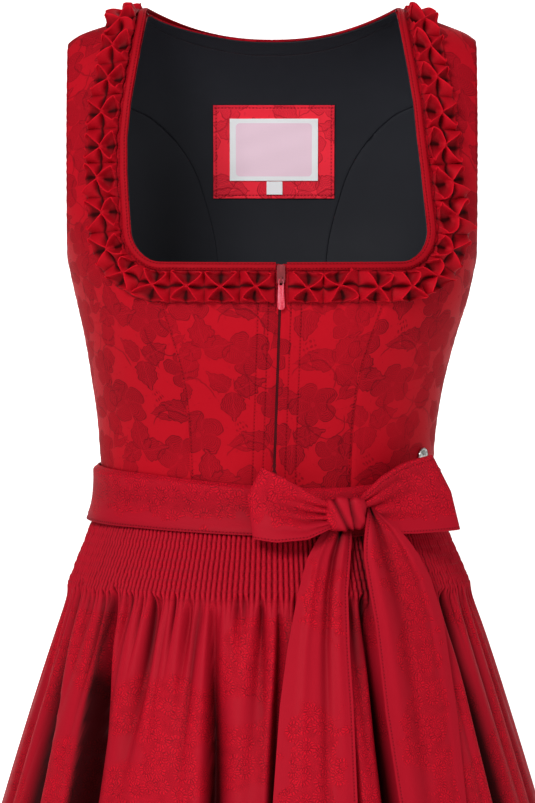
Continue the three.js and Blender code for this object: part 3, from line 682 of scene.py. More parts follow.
# Bodice and lining: each kind of panel with its top, its faces, its width in mm and its flat size in m
bodice = dict(
    roll=0.8,  # mm that the cloth dips at a seam
    rollWide=1.1,
    pucker=0.22,
    centre_front=dict(top=neckZ - 0.7, rows=64, columns=40, width=68, flat=(0.09, 0.187), area=0.0122),
    side_front=dict(top=0, rows=110, columns=60, width=70, flat=(0.126, 0.412), area=0.0327),
    side_back=dict(top=yokeZ, rows=70, columns=44, width=80, flat=(0.153, 0.372), area=0.0366),
    centre_back=dict(top=0, rows=100, columns=90, width=110, flat=(0.361, 0.432), area=0.0503),
)


def bodiceRows(top, count):
    if top < 0:
        return levelAt(np.linspace(waistZ, top, count))
    lower = levelAt(np.linspace(waistZ, -6, count - 8))
    return np.concatenate([lower, np.linspace(levelAt(-5), ridgeRow, 8)])


def seamRoll(u, level, width):  # the outer cloth turns in at its seams and puckers a little beside them
    near = np.minimum(u, 1 - u) * width
    z = heightAt(level)
    pucker = bodice["pucker"] * np.exp(-near / 5) * np.sin(z * 0.75 + 2 * np.sin(z * 0.11))
    soft = 0.5 * np.sin(u * 5 + z * 0.031) * np.sin(z * 0.043 + 1.3) * smooth(0, 15, near)
    return -bodice["roll"] * bell(near, 0, bodice["rollWide"]) + pucker + soft


flowered = clothFinish("flowered satin", satinColours, sheen=0.012)
panelStitches = dict(
    side_front_left=[("left", 2.6)],
    side_front_right=[("right", 2.6)],
    centre_front_left=[("right", 7.3), ("right", 14.8), ("left", 2)],
    centre_front_right=[("left", 7.3), ("left", 14.8), ("right", 2)],
    centre_back=[("left", 2), ("right", 2)],
)
liningSatin = clothFinish("lining", plainColours(srgb(35, 36, 42)), sheen=0.1,
                          sheenTint=(0.2, 0.2, 0.24, 1), gloss=0.15)
layers = [
    dict(word="bodice", lift=0.0, thick=1.3, zipEdge=slitHalf, slot="bodice_satin"),
    dict(word="lining", lift=-1.8, thick=0.8, zipEdge=tapeHalf, slot="lining_satin"),
]


def putPanel(layer, kind, side, surface):
    cut, name = bodice[kind], kind + side
    columns = np.linspace(0, 1, cut["columns"] + 1)
    if layer["word"] == "bodice":
        columns = lerp(columns, 0.5 - 0.5 * np.cos(np.pi * columns), 0.6)  # closer at the seams
        lift = lambda u, v: layer["lift"] + seamRoll(u, v, cut["width"])
        material, stitches = flowered, panelStitches.get(name, ())
    else:
        fromSeam = lambda u: np.minimum(u, 1 - u) * cut["width"]
        lift = lambda u, v: layer["lift"] + 0.35 * bell(fromSeam(u), 0, 1.1)
        material, stitches = liningSatin, [("top", 13)] if kind == "centre_back" else ()
    full = layer["word"] + "_" + name
    piece = makeSheet(full + "_cloth", surface, columns, bodiceRows(cut["top"], cut["rows"]), material,
                      lift, layer["thick"], stitches=stitches)
    sewOn(piece, [full], layer["slot"], flat=cut["flat"], area=cut["area"], held="stretched")


for layer in layers:
    for word, sign in sides:
        zipSide = lambda z: layer["zipEdge"] + sign * lookUp(zipLine, z)
        princess = lambda z: lookUp(frontSeam, z)
        neckSide = lambda z: np.where(z < neckZ, princess(z), neckEdge(z, sign))
        backSide = lambda z: lookUp(backSeam, z)
        sideSeam = lambda z: shoulderHalf + 0 * z
        putPanel(layer, "centre_front", "_" + word, panel(sign, zipSide, princess))
        putPanel(layer, "side_front", "_" + word, panel(sign, neckSide, sideSeam))
        putPanel(layer, "side_back", "_" + word, panel(sign, backSide, sideSeam, True))
    putPanel(layer, "centre_back", "", centreBack)
print("bodice and lining made")


# The neck edge in pattern distance: down is the length of cloth below the shoulder ridge, and below 0
# it runs over the ridge and down the back
def measureDown(onBack):
    places = np.linspace(ridge, levelAt(-260), 201)
    points = pointAt(np.full(len(places), float(neckHalf)), places, onBack)
    return places, lengthAlong(points), heightAt(places)


downFront, downBack = measureDown(False), measureDown(True)


def onBodice(x, down):
    front = np.interp(np.maximum(down, 0), downFront[1], downFront[0])
    back = np.interp(np.maximum(-down, 0), downBack[1], downBack[0])
    return np.where((down < 0)[..., None], pointAt(x, back, True), pointAt(x, front))


def neckPath(sign):
    start = 4 + sign * lookUp(zipLine, neckZ)
    downAt = lambda z: np.interp(z, downFront[2][::-1], downFront[1][::-1])
    lean = lambda z: sign * lookUp(neckLean, z)
    points = [(x, downAt(neckZ)) for x in np.linspace(start, cornerX + lean(neckZ), 13)]
    cornerTop = neckZ + cornerRise
    for turn in np.radians(np.linspace(0, 90, 13)[1:]):
        z = lerp(neckZ, cornerTop, 1 - math.cos(turn))
        points.append((lerp(cornerX, strapEdge[0, 1], math.sin(turn)) + lean(z), downAt(z)))
    points += [(lookUp(strapEdge, z) + lean(z), downAt(z)) for z in np.linspace(cornerTop, 0, 25)[1:]]
    for turn in np.radians(np.linspace(0, 90, 25)[1:]):
        x = neckHalf * math.cos(turn)
        points.append((x, -np.interp(backNeckZ(x), downBack[2][::-1], downBack[1][::-1])))
    points = np.array(points, float)
    return lengthAlong(points), points


def neckStrip(sign, start, end, near, far):  # a strip that lies near to far mm from the neck edge
    along, points = neckPath(sign)
    place = lambda at, column: np.interp(at, along, points[:, column])

    def surface(u, v):
        at = lerp(start, end, u)
        out = lerp(far, near, v)
        wayX = place(at + 4, 0) - place(at - 4, 0)
        wayDown = place(at + 4, 1) - place(at - 4, 1)
        size = np.hypot(wayX, wayDown)
        point = onBodice(place(at, 0) - wayDown / size * out, place(at, 1) + wayX / size * out)
        return point * np.array([sign, 1, 1])

    return surface


def ridgeAlong(sign):
    along, points = neckPath(sign)
    return along[points[:, 1] >= -1e-9][-1]


# Neck binding, a folded strip with two rows of stitches
binding = dict(near=-0.4, far=5.6, lift=0.6, crown=1.0, pastRidge=14, gap=0.3, open=0.01, around=0.0068,
               stitches=[("bottom", 1.2), ("top", 1.6)])
bindingSatin = clothFinish("binding satin", plainColours(srgb(166, 10, 26)))


def crown(u, v):
    return binding["lift"] + binding["crown"] * (1 - np.abs(2 * v - 1) ** 3.5) - 0.25 * bell(v, 0.78, 0.06)


for word, sign in sides:
    frontEnd = ridgeAlong(sign) + binding["pastRidge"]
    backEnd = neckPath(sign)[0][-1] - binding["gap"] / 2
    spans = [("neck_binding_", 0, frontEnd, 241),
             ("neck_binding_back_", frontEnd + binding["gap"], backEnd, 71)]
    for name, start, end, count in spans:
        name += word
        surface = neckStrip(sign, start, end, binding["near"], binding["far"])
        piece = makeSheet(name + "_cloth", surface, np.linspace(0, 1, count), np.linspace(0, 1, 15),
                          bindingSatin, crown, 0.5, sign, stitches=binding["stitches"])
        length = (end - start) * mm
        sewOn(piece, [name], "trim_satin", flat=(round(length, 3), binding["open"]),
              area=round(length * binding["around"], 5), held="stretched")
print("neck binding made")


# Trim of pinched box pleats. In one pleat s runs along the strip and t across it, both from -1 to 1. Two
# mouths open from the pinched middle to the edges of the strip; q is 0 on the slit of a mouth, 0.5 on its
# lip and 1 at the next pleat, so that the lips lie on lines of the mesh.
rosette = dict(
    near=6.2, far=29.2, start=0.6, pleats=14, base=1.2, lip=7.2, floor=0.5, border=0.4, seed=7,
    mouth=(0, 0.1, 0.25, 0.45, 0.62, 0.76, 0.87, 0.94, 0.98),
    facet=(0, 0.025, 0.08, 0.17, 0.32, 0.5, 0.68, 0.84, 0.95, 1),
)
halfPleat = [0.5 * q for q in rosette["mouth"]] + [0.5 + 0.5 * q for q in rosette["facet"]]
onePleat = np.array([-q for q in halfPleat[:0:-1]] + halfPleat[:-1])
rosetteColumns = np.concatenate(
    [(i + (onePleat + 1) / 2) / rosette["pleats"] for i in range(rosette["pleats"])] + [[1.0]]
)


def rosettePlaces(u, v, draws):
    at = np.clip(u, 0, 1 - 1e-9) * rosette["pleats"]
    unit = np.floor(at + 1e-9).astype(int)
    q, t, draw = (at - unit) * 2 - 1, v * 2 - 1, draws[np.minimum(unit, rosette["pleats"] - 1)]
    reach = np.abs(t)
    gape = np.where(t > 0, draw[..., 3], draw[..., 4])
    lipAt = 0.04 + 0.84 * gape * np.minimum(1, reach / 0.8) ** 0.9 * (1 - 0.45 * smooth(0.8, 1.02, reach))
    far = np.abs(q)
    s = np.sign(q) * np.where(far < 0.5, lipAt * far * 2, lipAt + (1 - lipAt) * (far * 2 - 1))
    return q, s, t, draw


def rosetteShift(u, v, draws):  # the pleats are turned and pulled a little, each in its own way
    q, s, t, draw = rosettePlaces(u, v, draws)
    hold = np.clip(1 - np.maximum(np.abs(s), np.abs(t)) ** 4, 0, 1)
    angle = np.radians(draw[..., 0]) * hold
    moved = s * np.cos(angle) - t * np.sin(angle) + draw[..., 1] * hold
    risen = s * np.sin(angle) + t * np.cos(angle) + draw[..., 2] * hold
    scallop = 1 + 0.05 * np.cos(2 * np.pi * s) - 0.03
    return u + (moved - q) / 2 / rosette["pleats"], (risen * scallop + 1) / 2


def rosetteHeight(u, v, draws):  # mm above the strip's own base, and the painted shade and painted highlight of the cloth
    q, s, t, draw = rosettePlaces(u, v, draws)
    reach, far = np.abs(t), np.abs(q)
    inMouth, onFacet = np.minimum(1, far * 2), np.clip(far * 2 - 1, 0, 1)
    lip = rosette["lip"] * draw[..., 5] * (0.70 + 0.36 * np.sin(np.pi * np.minimum(1, reach * 0.92)))
    lip = lip * (1 - 0.5 * smooth(0.88, 1, reach))
    slit = bell(inMouth, 0, 0.12) * smooth(0.1, 0.3, reach)
    floor = rosette["floor"] + 1.4 * smooth(0.7, 0.93, reach) - 0.9 * slit
    floor = lerp(lip, floor, smooth(0.02, 0.22, reach))
    mouth = floor + (lip - floor) * inMouth ** 4.5
    wedge = bell(t, 0, 0.04 + 0.13 * np.sin(np.pi * onFacet)) * smooth(0, 0.1, onFacet)
    facet = rosette["border"] + (lip - rosette["border"]) * (1 - onFacet) ** 1.1
    facet = facet + 0.6 * np.sin(np.pi * onFacet) * np.sin(np.pi * np.minimum(1, reach * 1.2))
    facet = facet - 0.85 * (facet - 0.4) * wedge
    height = np.where(far < 0.5, mouth, facet) + 0.5 * bell(far, 0.5, 0.022)
    height = height * (1 - 0.85 * smooth(0.93, 1, reach))
    inside = (1 - inMouth) ** 0.6 * smooth(0.08, 0.35, reach) * (1 - 0.6 * smooth(0.7, 0.95, reach))
    deep = np.where(far < 0.5, inside, wedge)
    # painted highlight along the lips, and painted shade in the mouths, the wedges, the facets and at the
    # edges
    shade = 0.12 + 0.5 * bell(far, 0.5, 0.03) - 0.95 * deep - 0.4 * slit - 0.25 * onFacet
    shade = shade - 0.45 * (1 - smooth(0, 0.1, 1 - onFacet)) - 0.4 * smooth(0.9, 1, reach)
    return np.maximum(0.05, height), np.clip(shade, darkest, 0.55)


def evenly(strip):  # u at even steps along the middle of a strip
    u = np.linspace(0, 1, 801)
    gone = lengthAlong(strip(u, 0 * u + 0.5))
    return gone / gone[-1], u


trimSatin = clothFinish("trim satin", plainColours(srgb(176, 11, 28)))
for word, sign in sides:
    chance = random.Random(rosette["seed"] + sign)
    draws = np.array([
        (chance.uniform(-20, 20), chance.uniform(-0.12, 0.12), chance.uniform(-0.12, 0.12),
         chance.uniform(0.76, 1.08), chance.uniform(0.76, 1.08), chance.uniform(0.85, 1.12))
        for _ in range(rosette["pleats"])
    ])
    end = ridgeAlong(sign) + binding["pastRidge"]
    strip = neckStrip(sign, rosette["start"], end, rosette["near"], rosette["far"])
    even = evenly(strip)

    def surface(u, v):
        along, across = rosetteShift(u, v, draws)
        return strip(np.interp(along, *even), across)

    lift = lambda u, v: rosette["base"] + rosetteHeight(u, v, draws)[0]
    shade = lambda u, v: rosetteHeight(u, v, draws)[1]
    name = "rosette_trim_" + word
    rows = np.linspace(0, 1, 41)
    rows = lerp(rows, (1 - np.cos(np.pi * rows)) / 2, 0.35)  # closer at the edges
    piece = makeSheet(name + "_cloth", surface, rosetteColumns, rows, trimSatin, lift, 0.5, sign,
                      shade=shade)
    sewOn(piece, [name], "trim_satin", flat=(0.57, 0.032), held="gathered",
          rests_on=["bodice_side_front_" + word])
print("rosette trim made")


# Skirt: folds are valleys round it. Each has its turn at the waist and lower down, its width to the left
# and to the right in degrees, its depth in mm, where it begins and how far down it reaches.
toHem = 1e6
folds = [
    (-177, -177, 2.5, 4.5, 26, waistZ, toHem), (-157, -156, 3, 2, 16, waistZ, toHem),
    (-138, -139, 2.5, 5, 27, waistZ, toHem), (-119, -118, 3.5, 2, 18, waistZ, toHem),
    (-101, -102, 3, 4.5, 22, waistZ, toHem), (-79, -76, 2.5, 1.5, 10, -420, toHem),
    (-69, -61.7, 4.2, 1.5, 36, -416, toHem), (-50.5, -46.3, 1.3, 4.4, 38, -420, toHem),
    (-44, -45, 1.1, 1.1, 7, -424, 45), (-33, -34.5, 3.0, 1.8, 14, -425, 95),
    (-23.6, -22, 1.0, 2.0, 11, -427, 55), (-16.3, -13.3, 0.8, 3.4, 30, -428, toHem),
    (-9, -8, 1.4, 1.4, 6, -430, 30), (-3, -5, 2, 2.6, 7, -430, 110),
    (1.8, 0.3, 0.9, 2.8, 24, -436, toHem), (14, 13, 2.2, 2.2, 9, -430, toHem),
    (18.3, 18.3, 0.8, 0.8, 13, -500, toHem), (27.3, 26.9, 2.2, 1.4, 32, -430, toHem),
    (40, 41, 2.5, 3, 16, -430, toHem), (57.8, 57.7, 1.2, 3.2, 38, -422, toHem),
    (68, 66, 1.1, 1.1, 7, -420, 30), (77, 78, 1.5, 3.5, 11, -422, toHem),
    (101, 102, 4.5, 3, 22, waistZ, toHem), (120, 119, 2, 3.5, 18, waistZ, toHem),
    (139, 140, 5, 2.5, 27, waistZ, toHem), (160, 160, 2, 3, 16, waistZ, toHem),
]
gathers = dict(  # count, how soon they rise and fade in mm, depth in mm and seed
    skirt=(74, 12, 70, 3.2, 11), skirtLower=(44, 60, 190, 4.0, 12),
    apron=(88, 4, 36, 5.4, 21), apronLower=(44, 16, 120, 5.0, 22),
)
apronEdge = 95
smocking = dict(
    ribs=124, crest=4.6, valley=0.9, nick=0.2, seed=5, columns=(0, 0.09, 0.25, 0.5, 0.75, 0.91),
    firstRow=-379, rowPitch=7.0, endZ=-425, fadeZ=-439, pinch=0.92,
)


def foldDepth(turn, z):
    total = 0
    lower = smooth(-425, -590, z)
    spread = 0.5 + 0.5 * smooth(-425, -540, z)
    for top, low, left, right, depth, start, reach in folds:
        away = wrapped(turn - lerp(top, low, lower))
        below = np.maximum(0, start - z)
        grown = 0.3 * (1 - np.exp(-below / 10)) + 0.7 * (1 - np.exp(-below / 150))
        if reach != toHem:
            grown = (1 - np.exp(-below / 8)) * bell(below, 0, reach)
        total = total + depth * grown * bell(away, 0, np.where(away < 0, left, right) * spread, 1.6)
    return total


# Small valleys, each of which grows and fades below top
def gatherDepth(turn, z, top, count, rise, fade, depth, seed):
    chance = random.Random(seed)
    total, step, below = 0, 360 / count, np.maximum(0, top - z)
    for i in range(count):
        centre = -180 + (i + chance.uniform(0.2, 0.8)) * step
        size = depth * chance.uniform(0.4, 1.2)
        reach = fade * chance.uniform(0.5, 1.5)
        width = step * chance.uniform(0.14, 0.3)
        grown = (1 - np.exp(-below / rise)) * bell(below, 0, reach)
        total = total + size * grown * bell(wrapped(turn - centre), 0, width, 1.4)
    return total


# Light hardly reaches the bottom of a fold, nor its wall that faces away from the front
def foldShade(turn, z):
    beside = turn - np.sign(turn) * 1.8 * smooth(20, 60, np.abs(turn))
    depth = np.maximum(foldDepth(turn, z), foldDepth(beside, z))
    return darkest * np.clip(depth / lerp(34, 17, smooth(-430, -510, z)), 0, 1) ** 1.3


def skirtPoint(turn, level, more):
    point = formPoint(turn, level)
    size = np.hypot(point[..., 0], point[..., 1])
    kept = 1 - (foldDepth(turn, point[..., 2]) + more) / size
    return point * np.stack([kept, kept, np.ones_like(kept)], -1)


def apronMore(turn, z):  # depths of the smaller gathers
    more = gatherDepth(turn, z, smocking["endZ"] + 2, *gathers["apron"])
    return more + gatherDepth(turn, z, smocking["endZ"], *gathers["apronLower"])


def skirtSurface(turn, level):  # under the apron it lies further in than any of the apron's folds
    z = heightAt(level)
    own = gatherDepth(turn, z, waistZ + 8, *gathers["skirt"])
    own = own + gatherDepth(turn, z, waistZ, *gathers["skirtLower"])
    here = foldDepth(turn, z)
    spots = [turn + step for step in (-1.2, -0.6, 0, 0.6, 1.2)]
    under = np.max([foldDepth(spot, z) + apronMore(spot, z) for spot in spots], axis=0) - here + 2.4
    outwards = smooth(apronEdge - 10, apronEdge - 1, np.abs(wrapped(turn)))
    return skirtPoint(turn, level, lerp(under, own, outwards))


skirtLevels = levelAt(np.linspace(hemZ, waistZ - seamGap, 71))
skirtShade = lambda turn, level: foldShade(turn, heightAt(level))
for name, start, end in (("skirt_front", -90.1, 90.1), ("skirt_back", 89.9, 270.1)):
    turns = np.linspace(start, end, 451)
    piece = makeSheet(name + "_cloth", skirtSurface, turns, skirtLevels, flowered,
                      stitches=[("bottom", 24)], shade=skirtShade)
    sewOn(piece, [name], "skirt_cloth", flat=(0.91, 0.68), area=0.45, held="gathered",
          rests_on=["sash_front", "sash_back"])
print("skirt made")


# Apron: smocked ribs below the sash, which open into folds
chance = random.Random(smocking["seed"])
wobble = np.array([[chance.uniform(-1, 1) for _ in range(9)] for _ in range(smocking["ribs"] + 1)])


def ribShare(turn):
    return (turn + apronEdge) / (2 * apronEdge) * smocking["ribs"]


def stitchRow(z):  # its number, and the mm from it
    row = np.clip((smocking["firstRow"] - z) / smocking["rowPitch"] + 0.5, 0, 8)
    return row, (np.mod(row, 1) - 0.5) * smocking["rowPitch"]


def ribLift(turn, z):
    place, (row, fromRow) = ribShare(turn), stitchRow(z)
    rib = np.clip(np.floor(place), 0, smocking["ribs"] - 1).astype(int)
    pinched = 0.7 * bell(fromRow, 0, 1.0)  # a row pinches the ribs together
    shape = lerp(np.abs(np.sin(np.pi * place)) ** 0.5, smocking["pinch"], pinched)
    height = smocking["crest"] - smocking["valley"] - smocking["nick"] * bell(fromRow, 0, 0.9)
    height = height + 0.4 * wobble[rib, np.floor(row).astype(int)]
    return smocking["valley"] + shape * height


def ribLean(turn, z):  # between two rows of stitches a rib leans a little, and more so at the sides
    place, row = ribShare(turn), stitchRow(z)[0]
    rib = np.clip(np.round(place), 0, smocking["ribs"]).astype(int)
    own = 0.05 * wobble[rib, np.floor(row).astype(int)] * np.sin(np.pi * (np.mod(row, 1) - 0.5))
    swing = -0.1 * turn / 60 * np.sin(2 * np.pi * row)
    inSmocking = smooth(smocking["endZ"], smocking["endZ"] + 4, z)
    ends = smooth(0, 1, np.minimum(place, smocking["ribs"] - place))
    return (own + swing) * inSmocking * ends * 2 * apronEdge / smocking["ribs"]


def smockedShare(z):  # 1 in the smocking, fading below it
    return np.exp(-np.maximum(0, smocking["endZ"] - z) / 6)


def apronSurface(turn, level):
    z = heightAt(level)
    rise = lerp(3.4, ribLift(turn, np.maximum(z, smocking["endZ"])), smockedShare(z))
    return skirtPoint(turn + ribLean(turn, z), level, apronMore(turn, z) - rise)


# Painted shade of the apron: its folds and smaller gathers, the gaps between the ribs, the stitch rows and
# the shadow of the two tails, with the smocking painted a little lighter
def apronShade(turn, level):
    z = heightAt(level)
    fade = smockedShare(z)
    fromGap = np.abs(np.mod(ribShare(turn) + 0.5, 1) - 0.5)
    row = bell(stitchRow(z)[1], 0, 1.0)
    aside = smooth(25, 65, np.abs(turn))
    gap = bell(fromGap, 0, 0.14 + 0.04 * aside) * (1 - 0.5 * row) * (1 + 0.35 * aside)
    row = row * (1 - 0.7 * aside)
    small = smooth(1, 6, apronMore(turn, z)) * 0.6
    middle = np.interp(z, (-465, -422, -386), (24.5, 27, 29))  # shaded by the two tails of the bow
    small = small + 0.5 * bell(turn, middle, 3.2) * smooth(-500, -430, z)
    return np.maximum(darkest, foldShade(turn, z) - small + (0.12 - 0.72 * gap - 0.24 * row) * fade)


apronCloth = clothFinish("apron cloth", daisyColours())
smockedCloth = clothFinish("smocked cloth", daisyColours(share=0.3))
oneRib = np.array(smocking["columns"])
apronTurns = np.concatenate([i + oneRib for i in range(smocking["ribs"])] + [[smocking["ribs"]]])
apronTurns = apronTurns / smocking["ribs"] * 2 * apronEdge - apronEdge
smockLevels = levelAt(np.linspace(smocking["fadeZ"], apronTopZ, 62))
piece = makeSheet("apron_smocking", apronSurface, apronTurns, smockLevels, smockedCloth, thick=0.5,
                  shade=apronShade)
sewOn(piece, ["apron"], "apron_cloth", flat=(0.88, 0.07), held="gathered", rests_on=["skirt_front_cloth"])
drop = np.linspace(60, smocking["fadeZ"] - apronHemZ, 30)[1:]
drop = np.concatenate([np.linspace(0, 60, 20), drop])  # closer rows where the folds begin
apronLevels = levelAt(smocking["fadeZ"] - drop[::-1])
piece = makeSheet("apron_skirt", apronSurface, apronTurns, apronLevels, apronCloth, thick=0.6,
                  stitches=[("bottom", 22), ("left", 7), ("right", 7)], shade=apronShade)
sewOn(piece, ["apron"], "apron_cloth", flat=(0.945, 0.57), area=0.43, held="gathered",
      rests_on=["skirt_front_cloth"])
print("apron made")


# Sash round the waist
sash = dict(topLift=5.8, bottomLift=6.8, thick=1.2, crease=1.1, slackTop=0.3, slackBottom=2.4, edge=0.3)
sashRows = table(  # turn, top, bottom
    (-270, -336, -380), (-90, -335, -379), (-45, -339, -381), (5, -348, -385.5), (25, -348, -386),
    (50, -344, -383), (90, -336, -380),
)


def sashPoint(turn, v):
    top, bottom = rowsAt(sashRows, turn)
    return formPoint(turn, levelAt(lerp(bottom, top, v)))


def sashLift(turn, v):
    drawn = bell(turn, 33, 36)  # creases run in to the knot
    creases = np.sin(v * 9.5 + 0.6 * np.sin(turn * 0.09)) * 0.9 + 0.5 * np.sin(v * 17 + turn * 0.05)
    slack = 0.5 * np.sin(turn * 0.13 + v * 3) * np.sin(v * np.pi)
    left = smooth(-35, -88, turn) * smooth(-160, -95, turn)  # it stands off the left side
    slack = slack + left * lerp(sash["slackBottom"], sash["slackTop"], v)
    slack = slack + sash["crease"] * drawn * creases * np.sin(v * np.pi)
    edge = -0.5 * bell(v, 0.055, 0.03) - 0.6 * bell(v, 0, 0.02) - 4.2 * bell(v, 1, 0.045)
    return lerp(sash["bottomLift"], sash["topLift"], v) + slack + edge


# painted shade: the sash a little darker all over, in soft bands for its creases, and darkest along its
# lower edge
def sashShade(turn, v):
    return -0.13 + 0.08 * np.sin(v * 7.5 + 0.9 + 0.01 * turn) - 0.14 * bell(v, 0, 0.1)


bandCloth = clothFinish("sash cloth", daisyColours(11, ["bottom"], True))
for name, start, end in (("sash_front", -90.1, 90.1), ("sash_back", -270.1, -89.9)):
    piece = makeSheet(name + "_cloth", sashPoint, np.linspace(start, end, 221), np.linspace(0, 1, 41),
                      bandCloth, sashLift, sash["thick"], 1, sash["edge"], [("bottom", 1.6)], sashShade)
    sewOn(piece, [name], "apron_cloth", flat=(0.37, 0.042), held="stretched", rests_on=["apron_smocking"])
print("sash made")


# Bow. A loop's outline gives its top and bottom from the knot outwards, and its tip gives x from the
# bottom up. A crease has its place, how it slopes, its width and its depth.
bow = dict(clear=1.6, edge=0.25, swell=13, turnX=92)  # past turnX the right loop stands away from the sash
knot = dict(x=53.3, z=-366, halfWidth=16.5, halfDepth=9, halfHeight=13.6,
            grooves=[(-0.28, 0.42), (0.34, 0.16)])
loops = [
    dict(word="left", start=43, facing=-1, flat=(0.127, 0.056), area=0.0049,
         tip=table((0, -14), (0.6, -18), (1, -7.8)),
         outline=table((0, -359, -376), (0.3, -351, -383), (0.7, -339, -385), (1, -332, -383)),
         creases=[(0.34, 0.16, 0.055, 3.4), (0.56, 0.02, 0.05, 3.8), (0.8, -0.14, 0.05, 2.6),
                  (0.16, 0.05, 0.04, 1.6)],
         stitches=[("bottom", 1.6)]),
    dict(word="right", start=64, facing=1, flat=(0.168, 0.062), area=0.0068,
         tip=table((0, 137.6), (0.5, 131), (1, 117)),
         outline=table((0, -354, -376), (0.3, -339.5, -381), (0.6, -330.5, -381), (1, -325, -380)),
         creases=[(0.3, 0.02, 0.05, 3.2), (0.52, 0.12, 0.05, 3.6), (0.76, 0.1, 0.045, 2.6)],
         stitches=[("bottom", 1.6), ("top", 3.6)]),
]


def sashFrontY(x, z):
    y = pointAt(np.minimum(x, bow["turnX"]), levelAt(z))[..., 1]
    return y - sash["bottomLift"] + 0.5 * np.maximum(0, x - bow["turnX"])


def loopCreases(reach, v, loop):  # valleys that run out from the knot
    total = 0
    for place, slope, width, depth in loop["creases"]:
        width = width * (0.6 + 1.6 * reach)
        total = total + depth * bell(v, place + slope * reach, width, 1.5)
    return total * np.clip(1.15 - reach * 1.25, 0, 1)


def loopReach(u):  # out from the knot and back to it
    return (1 - np.cos(2 * np.pi * u)) / 2


for loop in loops:
    def loopSurface(u, v):
        reach = loopReach(u)
        x = lerp(loop["start"], lookUp(loop["tip"], v), reach)
        top, bottom = rowsAt(loop["outline"], reach)
        z = lerp(bottom, top, v)
        swell = bow["swell"] * (1 + np.sin(2 * np.pi * u)) / 2
        apart = 2 * (1 + np.cos(np.pi * u))
        hollow = 12.0 * bell(v - 0.12 * reach, 0.55, 0.22) * reach * (1 - reach)
        inwards = (loopCreases(reach, v, loop) + hollow) * smooth(0.5, 0.2, u)
        y = sashFrontY(x, z) - bow["clear"] - 1.5 - swell - apart + inwards
        return np.stack([x, y, z], -1)

    # painted shade in the creases of the loop
    loopShade = lambda u, v: -0.095 * np.minimum(5, loopCreases(loopReach(u), v, loop))
    name = "bow_loop_" + loop["word"]
    piece = makeSheet(name + "_cloth", loopSurface, np.linspace(0, 1, 97), np.linspace(0, 1, 41),
                      bandCloth, None, 1.0, loop["facing"], bow["edge"], loop["stitches"], loopShade)
    sewOn(piece, [name], "apron_cloth", flat=loop["flat"], area=loop["area"], held="folded",
          rests_on=["sash_front"])

# A tail's edges give its left, its right and how far it stands off at each height. A crease has its
# place, its width and its depth, which is below 0 where the cloth rises.
tails = [
    dict(word="left", hem="right", flat=(0.077, 0.472), area=0.027,
         edges=table((-830, -24, 50, 7), (-587, -1, 62, 7), (-500, 5.5, 58.5, 7), (-460, 11, 56, 7.5),
                     (-422, 18.5, 55, 9), (-398, 25, 57, 11), (-386, 31.5, 58, 12.5), (-377, 38, 58, 14)),
         creases=[(0.3, 0.07, -2.0), (0.62, 0.065, 5.0), (0.84, 0.07, -1.8)]),
    dict(word="right", hem="left", flat=(0.066, 0.463), area=0.026,
         edges=table((-815, 112, 163, 7), (-587, 94.3, 141.6, 7), (-508, 82, 134, 7),
                     (-443, 74.5, 124.5, 12), (-415, 69.5, 116, 19), (-397, 66.5, 107, 26),
                     (-386, 66.5, 99.5, 30), (-376, 67.5, 91, 32), (-369, 68.5, 82, 30.5),
                     (-364, 69, 76, 26), (-361, 69.5, 73, 20)),
         creases=[(0.2, 0.08, -1.6), (0.42, 0.1, 4.4), (0.82, 0.05, 1.6)]),
]
tailCloth = clothFinish("tail cloth", daisyColours(9, ["left", "right"]))
for tail in tails:
    low, high = tail["edges"][0, 0], tail["edges"][-1, 0]

    def tailSurface(u, v):
        z = lerp(low, high, v)
        start, end, lift = rowsAt(tail["edges"], z)
        x = lerp(start, end, u)
        fold = 0
        for place, width, depth in tail["creases"]:
            fold = fold - depth * bell(u - 0.03 * np.sin(z * 0.02), place, width)
        fold = fold * smooth(high + 8, high - 25, z) * (0.65 + 0.35 * np.cos((z - high) * 0.012))
        return np.stack([x, pointAt(x, levelAt(z))[..., 1] - lift - fold, z], -1)

    def tailShade(u, v):  # painted shade: the main crease is dark where it leaves the knot, and the top of the tail under the knot
        place, width, depth = tail["creases"][1]
        below = (1 - v) * (high - low)
        return -bell(u, place, width * 1.2) * (0.62 * np.exp(-below / 70) + 0.1) - 0.5 * bell(below, 0, 9)

    name = "bow_tail_" + tail["word"]
    piece = makeSheet(name + "_cloth", tailSurface, np.linspace(0, 1, 61), np.linspace(0, 1, 161),
                      tailCloth, None, 1.0, 1, bow["edge"],
                      [(tail["hem"], 2.2), ("bottom", 2.2)], tailShade)
    sewOn(piece, [name], "apron_cloth", flat=tail["flat"], area=tail["area"], held="hung",
          rests_on=["apron_skirt"])

# The knot is a band wound once round, with folds across it
bm = bmesh.new()
bmesh.ops.create_uvsphere(bm, u_segments=96, v_segments=64, radius=1)
knotBack = float(sashFrontY(knot["x"] - knot["halfWidth"] / 2, knot["z"])) - bow["clear"]
shades = []
for vert in bm.verts:
    x, y, z = vert.co
    square = 1 / max(1e-6, (abs(x) ** 4 + abs(y) ** 4 + abs(z) ** 4) ** 0.25)
    crease = 0.02 * math.sin((0.9 * x + 0.4 * z) * 14)
    for place, slope in knot["grooves"]:
        away = x * square - place + slope * z * square
        crease -= 0.16 * bell(away, 0, 0.07, 1.2) + 0.05 * bell(away, 0.12, 0.1)
    size = square * (0.93 + crease) * (1 - 0.05 * bell(z, 0, 0.5) * abs(x))
    # painted shade in the grooves across the knot
    shades.append(-0.75 * min(1, max(0.0, -crease * 6.5)))
    vert.co = Vector((
        knot["x"] + knot["halfWidth"] * x * size,
        knotBack - knot["halfDepth"] + knot["halfDepth"] * y * size,
        knot["z"] + knot["halfHeight"] * z * size,
    )) * mm
piece = solidPiece("bow_knot_cloth", bm, apronCloth)
store(piece.data, "shade", shades, "FLOAT")
